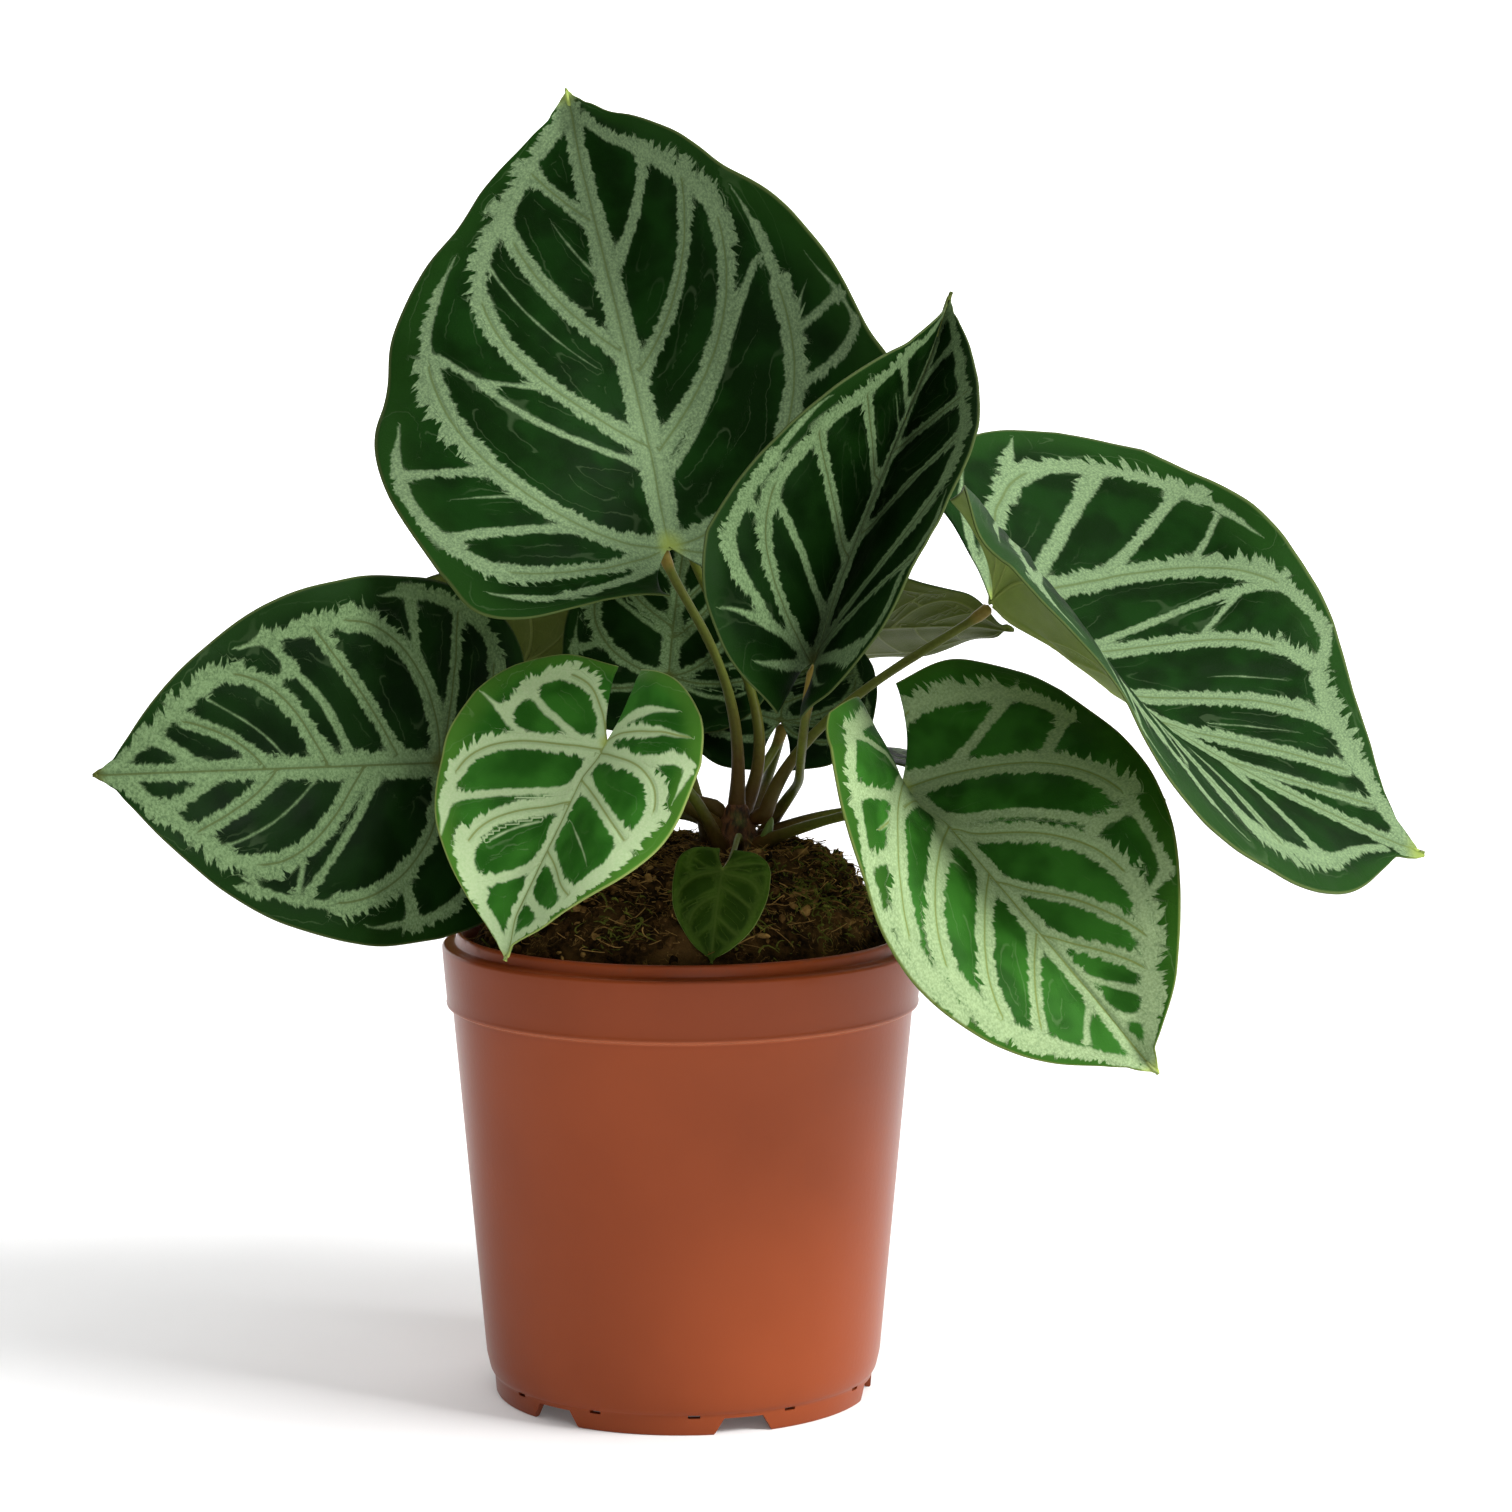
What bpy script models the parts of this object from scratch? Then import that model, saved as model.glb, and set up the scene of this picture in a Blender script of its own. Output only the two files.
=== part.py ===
"""A house plant in a plastic pot: thirteen large heart-shaped leaves and a young one.

Metres, +Z up, front at -Y. The origin is the centre of the pot's foot, on the floor.
"""

import math

import bmesh
import bpy
import numpy as np
from mathutils import Matrix, Vector

MM = 0.001
GAP = 0.3 * MM  # clearance between pieces that touch in the real plant

# Pot: radius and height pairs in mm, down the outer side.
POT_SEGMENTS = 60
RIM_RADIUS = 60.0
LIP_RADIUS = 56.5
LIP_HEIGHT = 117.0
COLLAR_TOP = 113.6
COLLAR_BOTTOM = 98.5
BODY_TOP_RADIUS = 57.4
BODY_BOTTOM_RADIUS = 49.6
BODY_BOTTOM = 10.5
FOOT_STEP = 5.4
FOOT_RADIUS = 47.2
WALL = 1.6
DISC_RADIUS = 30.0
DISC_HEIGHT = 1.5  # underside of the middle of the floor
CHANNEL_HEIGHT = 5.5  # underside of the drained ring of the floor
NOTCHES = 6
NOTCH_WIDTH = 13.0
NOTCH_HEIGHT = 2.6
FIRST_NOTCH = 19.0  # degrees from the front, towards +X
TABS = 12
TAB_WIDTH = 3.0
DRAINS = 6
DRAIN_RADIUS = 3.0

# Soil: a heaped plug in the pot.
SOIL_EDGE = 110.0
SOIL_RISE = 26.0
SOIL_RADIUS = 54.3
SOIL_RINGS = 7
SOIL_SECTORS = 40

# Crown: the stub of stem from which the leaf stalks rise.
CROWN_X = 13.5
CROWN_Y = 2.0
CROWN_RADIUS = 6.2
CROWN_BOTTOM = 118.0
CROWN_TOP = 149.0
CROWN_SEGMENTS = 20
CROWN_SIDE = [(CROWN_BOTTOM, 4.5), (CROWN_BOTTOM + 5, CROWN_RADIUS), (133.0, CROWN_RADIUS + 0.4),
              (138.0, CROWN_RADIUS), (144.0, CROWN_RADIUS - 0.5), (CROWN_TOP - 1.2, CROWN_RADIUS - 1.2),
              (CROWN_TOP, CROWN_RADIUS - 2.6)]  # height and radius

BLADE = 0.7  # blade thickness
STALK = 1.15  # stalk radius half way
STALK_BASE = 1.7

# Outline of half a blade: across as a share of the half width, and along as a share of the
# length from the stalk to the tip, or of the lobe's reach where negative.
MARGIN = [(0.30, -0.97), (0.66, -0.90), (0.90, -0.45), (1.00, 0.10), (0.97, 0.34), (0.85, 0.53),
          (0.64, 0.70), (0.40, 0.83), (0.17, 0.915), (0.055, 0.955), (0.0, 1.0)]
# Where the rows that end at those places start on the midrib.
AXIS = [0.0, 0.0, 0.0, 0.03, 0.12, 0.26, 0.44, 0.62, 0.79, 0.89, 1.0]

# Each leaf: place of the stalk's end in mm; heading (0 at the viewer, 90 to +X), pitch and roll of
# the midrib there; length, lobe, left and right half widths in mm; then angles in degrees.
LEAVES = {
    "tall": dict(
        at=(-3.2, -2, 212.5), turn=(219, 70, -2), size=(121, 27, 70, 68.5), fold=(14, 16),
        curl=(-50, 44), arch=5, lobe_arch=-60, twist=46, sway=3, lift=(0, 38), opening=(-8, 30),
        cup=(0, 0), sinus=(0.25, 0.25), wave=1.5, start=("top", 0), leave=(93, 85), arrive=85,
        pull=(0.55, 0.2), rows=17, columns=6),
    "centre": dict(
        at=(32, -48, 188.4), turn=(153, 50, -31), size=(103.1, 22, 50, 50), fold=(60, 83),
        curl=(-28, -11), arch=-20, lobe_arch=13, twist=-2, sway=2, lift=(0, -8), opening=(31, -21),
        cup=(12, 12), sinus=(0.15, 0.15), wave=1.0, start=(127, 139), leave=(115, 54),
        arrive=42, pull=(0.39, 0.59), rows=16, columns=5),
    "left": dict(
        at=(-59, -18, 160.8), turn=(-47, 3, 79), size=(92.5, 31, 44, 46), fold=(7, 10),
        curl=(-22, -9), arch=21, lobe_arch=9, twist=-2, sway=2, lift=(-6, -7), opening=(8, 7),
        cup=(0, 0), sinus=(0.15, 0.15), wave=1.0, start=(-75, 144), leave=(-80, 40),
        arrive=30, pull=(0.4, 0.22), rows=16, columns=5),
    "front_left": dict(
        at=(-17.4, -43.5, 169), turn=(-56, -61, 1), size=(58, 19, 38, 38), fold=(22, 22),
        curl=(-60, 20), arch=-5, lobe_arch=0, twist=14, sway=-4, lift=(3, -2), opening=(20, 8),
        cup=(0, 0), sinus=(0.15, 0.15), wave=0.7, start=(-35, 139), leave=(-40, 60),
        arrive=15, pull=(0.4, 0.22), rows=14, columns=5),
    "right": dict(
        at=(76.5, -4, 199), turn=(49, -36, -65), size=(118, 31, 78, 78), fold=(-52, 128),
        curl=(28, -27), arch=57, lobe_arch=12, twist=-22, sway=-29, lift=(-24, -38),
        opening=(-25, -39), cup=(52, 52), sinus=(0.2, 0.3), wave=1.2, start=(78, 146),
        leave=(74, 73), arrive=5, pull=(0.38, 0.17), rows=17, columns=6),
    "front_right": dict(
        at=(53, -34, 156), turn=(39, -31, -38), size=(95.5, 23, 50.5, 54), fold=(1, 96),
        curl=(-20, -33), arch=33, lobe_arch=5, twist=-33, sway=-7, lift=(0, -24), opening=(7, -47),
        cup=(34, 34), sinus=(0.3, -0.25), wave=1.0, start=(60, 138.6), leave=(60, 25),
        arrive=30, pull=(0.4, 0.22), rows=16, columns=5),
    "young": dict(
        at=(10.4, -46, 139), turn=(-25, -68, 8), size=(23, 5, 12, 12), fold=(3, 6),
        curl=(-14, -12), arch=16, lobe_arch=15, twist=0, sway=0, lift=(0, 0), opening=(0, 0),
        cup=(0, 0), sinus=(0.15, 0.15), wave=0.2, start=(5, 139), leave=(0, 30), arrive=30,
        pull=(0.4, 0.22), rows=9, columns=3),
    "inner": dict(
        at=(-4, 30, 177), turn=(172, 55, 0), size=(56, 17, 28, 28), fold=(10, 10), curl=(-10, -10),
        arch=15, lobe_arch=10, twist=0, sway=0, lift=(0, 0), opening=(0, 0), cup=(0, 0),
        sinus=(0.15, 0.15), wave=0.8, start=(-117, 139), leave=(-150, 62), arrive=45,
        pull=(0.4, 0.22), rows=12, columns=4),
    "side": dict(
        at=(36, 66, 184), turn=(92, 6, 30), size=(50, 16, 27, 27), fold=(12, 12), curl=(-8, -8),
        arch=10, lobe_arch=10, twist=0, sway=0, lift=(0, 0), opening=(0, 0), cup=(0, 0),
        sinus=(0.15, 0.15), wave=0.8, start=(150, 143), leave=(165, 22), arrive=45,
        pull=(0.4, 0.22), rows=12, columns=4),
    "low": dict(
        at=(24.5, 25.5, 166), turn=(171, 49, 2), size=(37, 15, 24.5, 24.5), fold=(8, 9), curl=(-10, -10),
        arch=15, lobe_arch=10, twist=0, sway=0, lift=(0, 0), opening=(0, 0), cup=(0, 0),
        sinus=(0.15, 0.15), wave=0.5, start=(181, 140), leave=(170, 60), arrive=45,
        pull=(0.4, 0.22), rows=12, columns=3),
    "turned": dict(
        at=(-43, 60, 177), turn=(-97, -5, -50), size=(64, 20, 32, 32), fold=(12, 12),
        curl=(-10, -10), arch=20, lobe_arch=10, twist=0, sway=0, lift=(0, 0), opening=(0, 0),
        cup=(0, 0), sinus=(0.02, 0.02), wave=0.9, start=(-100, 147), leave=(-110, 12),
        arrive=40, pull=(0.4, 0.22), rows=12, columns=4),
    "rear_high": dict(
        at=(-3, 45, 230), turn=(178, 25, 0), size=(84, 26, 42, 42), fold=(12, 12), curl=(-10, -10),
        arch=35, lobe_arch=10, twist=0, sway=0, lift=(0, 0), opening=(0, 0), cup=(0, 0),
        sinus=(0.15, 0.15), wave=1.0, start=(160, 147), leave=(98, 66), arrive=29,
        pull=(0.36, 0.34), rows=12, columns=4),
    "rear_right": dict(
        at=(78, 40, 150), turn=(142, -8, 0), size=(70, 22, 36, 36), fold=(12, 12), curl=(-10, -10),
        arch=30, lobe_arch=10, twist=0, sway=0, lift=(0, 0), opening=(0, 0), cup=(0, 0),
        sinus=(0.15, 0.15), wave=1.0, start=(94, 139.6), leave=(110, 25), arrive=35,
        pull=(0.4, 0.22), rows=12, columns=4),
    "rear_low": dict(
        at=(-38, 45, 142), turn=(-150, -10, 0), size=(70, 22, 36, 36), fold=(12, 12),
        curl=(-10, -10), arch=30, lobe_arch=10, twist=0, sway=0, lift=(0, 0), opening=(0, 0),
        cup=(0, 0), sinus=(0.15, 0.15), wave=1.0, start=(-148, 139), leave=(-150, 30),
        arrive=35, pull=(0.4, 0.22), rows=12, columns=4),
}

POT_COLOUR = ((0.34, 0.10, 0.045), 0.35)
SOIL_COLOUR = ((0.03, 0.02, 0.012), 0.95)
CROWN_COLOUR = ((0.10, 0.05, 0.02), 0.7)
STALK_COLOUR = ((0.13, 0.12, 0.03), 0.5)
BLADE_COLOUR = ((0.03, 0.13, 0.03), 0.45)
FRESH_COLOUR = ((0.07, 0.19, 0.03), 0.4)


def clear_scene():
    """Empties the startup scene."""
    for thing in list(bpy.data.objects):
        bpy.data.objects.remove(thing, do_unlink=True)


def collection(name, hidden=False):
    """A collection under the scene's own."""
    group = bpy.data.collections.new(name)
    bpy.context.scene.collection.children.link(group)
    group.hide_render = hidden
    return group


def material(name, colour, roughness):
    """A plain coloured surface, with no metal in it."""
    made = bpy.data.materials.new(name)
    made.use_nodes = True
    shader = made.node_tree.nodes["Principled BSDF"]
    shader.inputs["Base Color"].default_value = (*colour, 1.0)
    shader.inputs["Roughness"].default_value = roughness
    shader.inputs["Metallic"].default_value = 0.0
    made.diffuse_color = (*colour, 1.0)
    return made


def mesh_object(name, group, shape, look=None):
    """An object from an edited mesh, which it frees."""
    data = bpy.data.meshes.new(name)
    shape.to_mesh(data)
    shape.free()
    made = bpy.data.objects.new(name, data)
    group.objects.link(made)
    if look:
        data.materials.append(material(name, *look))
    return made


def settle(made):
    """Makes the result of an object's modifiers its own mesh."""
    bpy.context.view_layer.update()
    result = made.evaluated_get(bpy.context.evaluated_depsgraph_get())
    made.data = bpy.data.meshes.new_from_object(result)
    made.modifiers.clear()


def helper_object(name, group, shape):
    """A body that only cuts another."""
    made = mesh_object(name, group, shape)
    made.display_type = "WIRE"
    made.hide_render = True
    return made


def subtract(target, helper):
    """Takes one body from another with an exact Boolean."""
    step = target.modifiers.new(helper.name, "BOOLEAN")
    step.operation = "DIFFERENCE"
    step.solver = "EXACT"
    step.object = helper


def lathe(name, group, profile, look=None, segments=POT_SEGMENTS):
    """Turns a profile of radius and height pairs in mm, given from the top down its outer side."""
    shape = bmesh.new()
    points = [shape.verts.new((radius * MM, 0.0, height * MM)) for radius, height in profile]
    for first, second in zip(points, points[1:]):
        shape.edges.new((first, second))
    if profile[0][0] > 0:
        shape.edges.new((points[-1], points[0]))
    made = mesh_object(name, group, shape, look)
    turn = made.modifiers.new("turn", "SCREW")
    turn.steps = turn.render_steps = segments
    turn.use_merge_vertices = True
    turn.merge_threshold = 0.00001
    return made


def boxes(name, group, places):
    """One mesh of tapered boxes: (angle, radius in and out, height low and high, width low and high)."""
    shape = bmesh.new()
    for angle, inner, outer, low, high, wide_low, wide_high in places:
        corners = bmesh.ops.create_cube(shape, size=1.0)["verts"]
        for corner in corners:
            wide = wide_high if corner.co.z > 0 else wide_low
            corner.co = Vector(((inner + outer) / 2 + (outer - inner) * corner.co.x, wide * corner.co.y,
                                (low + high) / 2 + (high - low) * corner.co.z)) * MM
        bmesh.ops.rotate(shape, verts=corners, matrix=Matrix.Rotation(math.radians(angle - 90), 3, "Z"))
    return helper_object(name, group, shape)


def drills(name, group, places, sides=16):
    """One mesh of upright cylinders: each is (x, y, radius, low, high) in mm."""
    shape = bmesh.new()
    for x, y, radius, low, high in places:
        bmesh.ops.create_cone(
            shape, cap_ends=True, segments=sides, radius1=radius * MM, radius2=radius * MM,
            depth=(high - low) * MM, matrix=Matrix.Translation(Vector((x, y, (low + high) / 2)) * MM))
    return helper_object(name, group, shape)


def body_radius(height):
    """Outer radius of the pot's tapering wall at a height, both in mm."""
    share = (height - BODY_BOTTOM) / (COLLAR_BOTTOM - BODY_BOTTOM)
    return BODY_BOTTOM_RADIUS + (BODY_TOP_RADIUS - BODY_BOTTOM_RADIUS) * share


def inner_radius(height):
    """Inner radius of the pot's wall at a height, both in mm."""
    return min(body_radius(height) - WALL, LIP_RADIUS - 1.9)


def make_pot(group, helpers):
    """The pot: collar, lip, tapering wall, raised ring in the floor and a notched foot."""
    lip_in = LIP_RADIUS - 1.9
    profile = [
        (LIP_RADIUS - 0.95, LIP_HEIGHT), (LIP_RADIUS - 0.25, LIP_HEIGHT - 0.4),
        (LIP_RADIUS, COLLAR_TOP + 0.6),
        (RIM_RADIUS - 0.5, COLLAR_TOP + 0.3), (RIM_RADIUS, COLLAR_TOP - 0.4),
        (58.9, COLLAR_BOTTOM + 0.9), (58.6, COLLAR_BOTTOM), (BODY_TOP_RADIUS, COLLAR_BOTTOM - 1.0),
        (BODY_BOTTOM_RADIUS, BODY_BOTTOM), (FOOT_RADIUS + 1.0, FOOT_STEP), (FOOT_RADIUS, 0.0),
        (FOOT_RADIUS - WALL, 0.0), (FOOT_RADIUS - WALL, CHANNEL_HEIGHT),
        (DISC_RADIUS + 1.5, CHANNEL_HEIGHT), (DISC_RADIUS, DISC_HEIGHT), (0.0, DISC_HEIGHT),
        (0.0, DISC_HEIGHT + WALL), (DISC_RADIUS - 0.6, DISC_HEIGHT + WALL),
        (DISC_RADIUS + 1.0, CHANNEL_HEIGHT + WALL), (inner_radius(12) - 1.2, CHANNEL_HEIGHT + WALL),
        (inner_radius(12), BODY_BOTTOM + 1.5), (inner_radius(COLLAR_BOTTOM - 2), COLLAR_BOTTOM - 2),
        (lip_in, COLLAR_TOP - 3), (lip_in, LIP_HEIGHT - 0.4)]
    pot = lathe("pot", group, profile, POT_COLOUR)
    step = 360 / NOTCHES
    subtract(pot, boxes("foot_notches", helpers, [
        (FIRST_NOTCH + step * i, FOOT_RADIUS - 5, FOOT_RADIUS + 5, -2.0, NOTCH_HEIGHT, NOTCH_WIDTH + 3.0,
         NOTCH_WIDTH - 3.0) for i in range(NOTCHES)]))
    tabs = []
    for i in range(NOTCHES):
        for side in (-1, 1):
            tabs.append((FIRST_NOTCH + step * i + 15.0 * side, FOOT_RADIUS - 3, FOOT_RADIUS + 3,
                         FOOT_STEP - 1.1, FOOT_STEP - 0.3, TAB_WIDTH, TAB_WIDTH))
    subtract(pot, boxes("foot_slots", helpers, tabs))
    ring = (DISC_RADIUS + FOOT_RADIUS - WALL) / 2
    subtract(pot, drills("drains", helpers, [
        (ring * math.sin(math.radians(step * i)), -ring * math.cos(math.radians(step * i)),
         DRAIN_RADIUS, CHANNEL_HEIGHT - 2, CHANNEL_HEIGHT + WALL + 2) for i in range(DRAINS)]))
    return pot


def soil_height(x, y):
    """Height in mm of the heaped soil at a place in mm: higher at the back and right."""
    reach = min(math.hypot(x, y) / SOIL_RADIUS, 1.0)
    dome = (1 - reach ** 5) * (1 + 0.14 * x / SOIL_RADIUS + 0.06 * y / SOIL_RADIUS)
    lumps = 1.1 * math.sin(0.21 * x + 1.0) * math.cos(0.17 * y) + 0.7 * math.sin(0.13 * x - 0.31 * y)
    return SOIL_EDGE + SOIL_RISE * dome + lumps * (1 - reach ** 6)


def make_soil(group, helpers):
    """The soil: a plug that follows the inside of the pot, with a lumpy heaped top."""
    gap = GAP / MM
    top = [(SOIL_RADIUS * k / SOIL_RINGS, SOIL_EDGE) for k in range(SOIL_RINGS + 1)]
    under = [(SOIL_RADIUS, COLLAR_TOP - 4.5),
             (inner_radius(COLLAR_BOTTOM - 2) - gap - 0.05, COLLAR_BOTTOM - 2),
             (inner_radius(12) - gap, BODY_BOTTOM + 1.8),
             (inner_radius(12) - 1.6, CHANNEL_HEIGHT + WALL + gap),
             (DISC_RADIUS + 0.8, CHANNEL_HEIGHT + WALL + gap),
             (DISC_RADIUS - 0.9, DISC_HEIGHT + WALL + gap), (0.0, DISC_HEIGHT + WALL + gap)]
    soil = lathe("soil", group, top + under, SOIL_COLOUR, segments=SOIL_SECTORS)
    settle(soil)
    for point in soil.data.vertices:
        if point.co.z > (SOIL_EDGE - 0.1) * MM:
            point.co.z = soil_height(point.co.x / MM, point.co.y / MM) * MM
    shape = bmesh.new()
    shape.from_mesh(soil.data)
    bmesh.ops.triangulate(shape, faces=[f for f in shape.faces if len(f.verts) > 3])
    shape.to_mesh(soil.data)
    shape.free()
    hole = drills("crown_hole", helpers, [
        (CROWN_X, CROWN_Y, CROWN_RADIUS + 0.6 + gap, CROWN_BOTTOM - gap, 160.0)], sides=24)
    subtract(soil, hole)
    return soil


def crown_radius(height):
    """Radius of the crown's side at a height, both in mm."""
    heights, radii = zip(*CROWN_SIDE)
    return float(np.interp(height, heights, radii))


def make_crown(group):
    """The crown: a short stub that stands in a plain hole in the soil."""
    rings = [(0.0, CROWN_BOTTOM), *((radius, height) for height, radius in CROWN_SIDE), (0.0, CROWN_TOP)]
    crown = lathe("crown", group, rings[::-1], CROWN_COLOUR, segments=CROWN_SEGMENTS)
    crown.location = (CROWN_X * MM, CROWN_Y * MM, 0.0)
    return crown


def spline(stations, where):
    """A smooth curve through evenly spaced stations, read at shares of 0 to 1."""
    points = np.atleast_2d(np.array(stations, float).T).T
    spans = len(points) - 1
    t = np.clip(where, 0, 1) * spans
    i = np.minimum(t.astype(int), spans - 1)
    f = (t - i)[..., None]
    padded = np.vstack([2 * points[0] - points[1], points, 2 * points[-1] - points[-2]])
    a, b, c, d = padded[i], padded[i + 1], padded[i + 2], padded[i + 3]
    return 0.5 * (2 * b + (c - a) * f + (2 * a - 5 * b + 4 * c - d) * f ** 2
                  + (3 * b - a - 3 * c + d) * f ** 3)


def directions(leaf):
    """Unit vectors at the stalk's end: along the midrib, to the right, and out of the upper face."""
    heading, pitch, roll = np.radians(leaf["turn"])
    level = math.cos(pitch)
    along = np.array([math.sin(heading) * level, -math.cos(heading) * level, math.sin(pitch)])
    right = np.array([-math.cos(heading), -math.sin(heading), 0.0])
    up = np.cross(right, along)
    c, s = math.cos(roll), math.sin(roll)
    return along, c * right + s * up, c * up - s * right


def flat_place(leaf, side, s, a):
    """Place on the flat blade in mm: s runs along the margin, a from the midrib out to it."""
    length, lobe, left, right = leaf["size"]
    margin = spline(MARGIN, s)
    reach_y = np.where(margin[..., 1] < 0, margin[..., 1] * lobe, margin[..., 1] * length)
    closing = (leaf["sinus"][side > 0] - MARGIN[0][0]) * np.clip(1 - s / 0.18, 0, 1)
    reach_x = (margin[..., 0] + closing) * (right if side > 0 else left)
    axis = np.maximum(spline(AXIS, s)[..., 0], 0) * length
    x = reach_x * a
    y = axis + (reach_y - axis) * a
    size = np.maximum(np.hypot(reach_x, reach_y - axis), 1e-6)
    bow = size * 4 * a * (1 - a) * (0.05 - 0.13 * np.clip(1 - s / 0.2, 0, 1))
    return (x + (reach_y - axis) / size * bow) * side, y - reach_x / size * bow


def blade_place(leaf, side, x, y, s, a):
    """Place in space, in mm, of a place on the flat blade; side is 1 for the right half, -1 the left."""
    along, right, up = directions(leaf)
    length, lobe, left_width, right_width = leaf["size"]
    bend = np.where(y > 0, math.radians(leaf["arch"]) / length, math.radians(leaf["lobe_arch"]) / lobe)
    bend = np.where(np.abs(bend) < 1e-7, 1e-7, bend)
    turned = bend * y
    centre = (np.sin(turned) / bend)[..., None] * along - ((1 - np.cos(turned)) / bend)[..., None] * up
    normal = np.sin(turned)[..., None] * along + np.cos(turned)[..., None] * up
    twist = math.radians(leaf["twist"]) * np.clip(y / length, -1, 1)
    cross = np.cos(twist)[..., None] * right + np.sin(twist)[..., None] * normal
    normal = np.cos(twist)[..., None] * normal - np.sin(twist)[..., None] * right
    half = int(side > 0)
    width = (left_width, right_width)[half]
    share = np.clip(y / length, 0, 1)
    fold = math.radians(leaf["fold"][half]) + math.radians(leaf["opening"][half]) * share
    near_lobe = np.clip((0.35 * length - y) / (0.35 * length + 0.6 * lobe), 0, 1)
    lift = math.radians(leaf["lift"][half]) * near_lobe ** 2 * (3 - 2 * near_lobe)
    curl = (math.radians(leaf["curl"][half]) + lift) / width
    curl = np.where(np.abs(curl) < 1e-7, 1e-7, curl)
    out = x * side
    end = fold + curl * out
    aside = (np.sin(end) - np.sin(fold)) / curl
    height = (np.cos(fold) - np.cos(end)) / curl
    height = height + leaf["wave"] * a ** 3 * np.sin(2 * math.pi * 3.5 * s + leaf["size"][0])
    sway = math.radians(leaf["sway"]) * np.maximum(y, 0) ** 2 / (2 * length)
    place = centre + (side * aside + sway)[..., None] * cross + height[..., None] * normal
    behind = np.clip((np.degrees(np.arctan2(out, y + 1e-6)) - 35) / 115, 0, 1)
    cup = math.radians(leaf["cup"][half]) * behind ** 2 * (3 - 2 * behind)
    ahead, high = place @ along, place @ up
    return (np.array(leaf["at"]) + (np.cos(cup) * ahead + np.sin(cup) * high)[..., None] * along
            + (place @ right)[..., None] * right
            + (np.cos(cup) * high - np.sin(cup) * ahead)[..., None] * up)


def make_blade(name, leaf, group):
    """A leaf blade: a triangulated sheet given a thickness on its lower side."""
    shape = bmesh.new()
    bmesh.ops.create_grid(shape, x_segments=leaf["rows"], y_segments=2 * leaf["columns"], size=1.0)
    shape.verts.ensure_lookup_table()
    grid = np.round([point.co for point in shape.verts], 5)
    for side in (1, -1):
        half = np.flatnonzero(grid[:, 1] * side <= 0)
        s, a = (grid[half, 0] + 1) / 2, np.abs(grid[half, 1])
        x, y = flat_place(leaf, side, s, a)
        for k, place in zip(half, blade_place(leaf, side, x, y, s, a)):
            shape.verts[int(k)].co = Vector(place) * MM
    bmesh.ops.remove_doubles(shape, verts=shape.verts, dist=2e-6)
    bmesh.ops.dissolve_degenerate(shape, dist=2e-6, edges=shape.edges)
    bmesh.ops.triangulate(shape, faces=shape.faces[:])
    look = FRESH_COLOUR if name in ("young", "front_left", "front_right") else BLADE_COLOUR
    blade = mesh_object("blade_" + name, group, shape, look)
    thick = blade.modifiers.new("thickness", "SOLIDIFY")
    thick.thickness = BLADE * MM
    thick.offset = -1.0
    thick.use_even_offset = False
    return blade


def stalk_path(leaf, points=11):
    """Centre line in mm of a leaf stalk, from the crown to just under the blade."""
    along, right, up = directions(leaf)
    spread = math.radians(leaf["fold"][1] - leaf["fold"][0]) / 2
    outward = math.sin(spread) * right - math.cos(spread) * up
    slope = math.radians(leaf["arrive"])
    into = -math.cos(slope) * outward + math.sin(slope) * along
    end = np.array(leaf["at"]) + outward * (BLADE + GAP / MM + 0.15 + STALK * math.sin(slope)) + along * 0.5
    turn, rise = np.radians(leaf["leave"])
    angle, height = leaf["start"]
    if angle == "top":
        start = np.array((CROWN_X, CROWN_Y, CROWN_TOP + GAP / MM))
    else:
        facing = math.radians(angle)
        radius = (crown_radius(height) * math.cos(math.pi / CROWN_SEGMENTS) + GAP / MM
                  + STALK_BASE * math.sin(rise) + 0.1)
        start = np.array((CROWN_X + radius * math.sin(facing), CROWN_Y - radius * math.cos(facing), height))
    away = np.array((math.sin(turn) * math.cos(rise), -math.cos(turn) * math.cos(rise), math.sin(rise)))
    reach = np.linalg.norm(end - start)
    t = np.linspace(0, 1, points)[:, None]
    b, c = start + away * reach * leaf["pull"][0], end - into * reach * leaf["pull"][1]
    return (1 - t) ** 3 * start + 3 * (1 - t) ** 2 * t * b + 3 * (1 - t) * t * t * c + t ** 3 * end


def make_stalk(name, leaf, group):
    """A leaf stalk: a tube on its centre line, thicker at its foot and at its knee."""
    path = stalk_path(leaf)
    curve = bpy.data.curves.new("path", "CURVE")
    curve.dimensions = "3D"
    curve.bevel_depth = MM
    curve.bevel_resolution = 2
    curve.use_fill_caps = True
    line = curve.splines.new("POLY")
    line.points.add(len(path) - 1)
    small = 0.6 if name == "young" else 1.0
    for i, (point, spot) in enumerate(zip(line.points, path)):
        share = i / (len(path) - 1)
        point.co = (*(spot * MM), 1.0)
        point.radius = small * (STALK + (STALK_BASE - STALK) * (1 - share) ** 3)
    tube = bpy.data.objects.new("tube", curve)
    group.objects.link(tube)
    bpy.context.view_layer.update()
    data = bpy.data.meshes.new_from_object(tube.evaluated_get(bpy.context.evaluated_depsgraph_get()))
    bpy.data.objects.remove(tube, do_unlink=True)
    shape = bmesh.new()
    shape.from_mesh(data)
    bmesh.ops.remove_doubles(shape, verts=shape.verts, dist=1e-6)
    bmesh.ops.recalc_face_normals(shape, faces=shape.faces)
    shape.to_mesh(data)
    shape.free()
    data.name = "petiole_" + name
    data.materials.clear()
    data.materials.append(material("petiole_" + name, *STALK_COLOUR))
    made = bpy.data.objects.new("petiole_" + name, data)
    group.objects.link(made)
    return made


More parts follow.
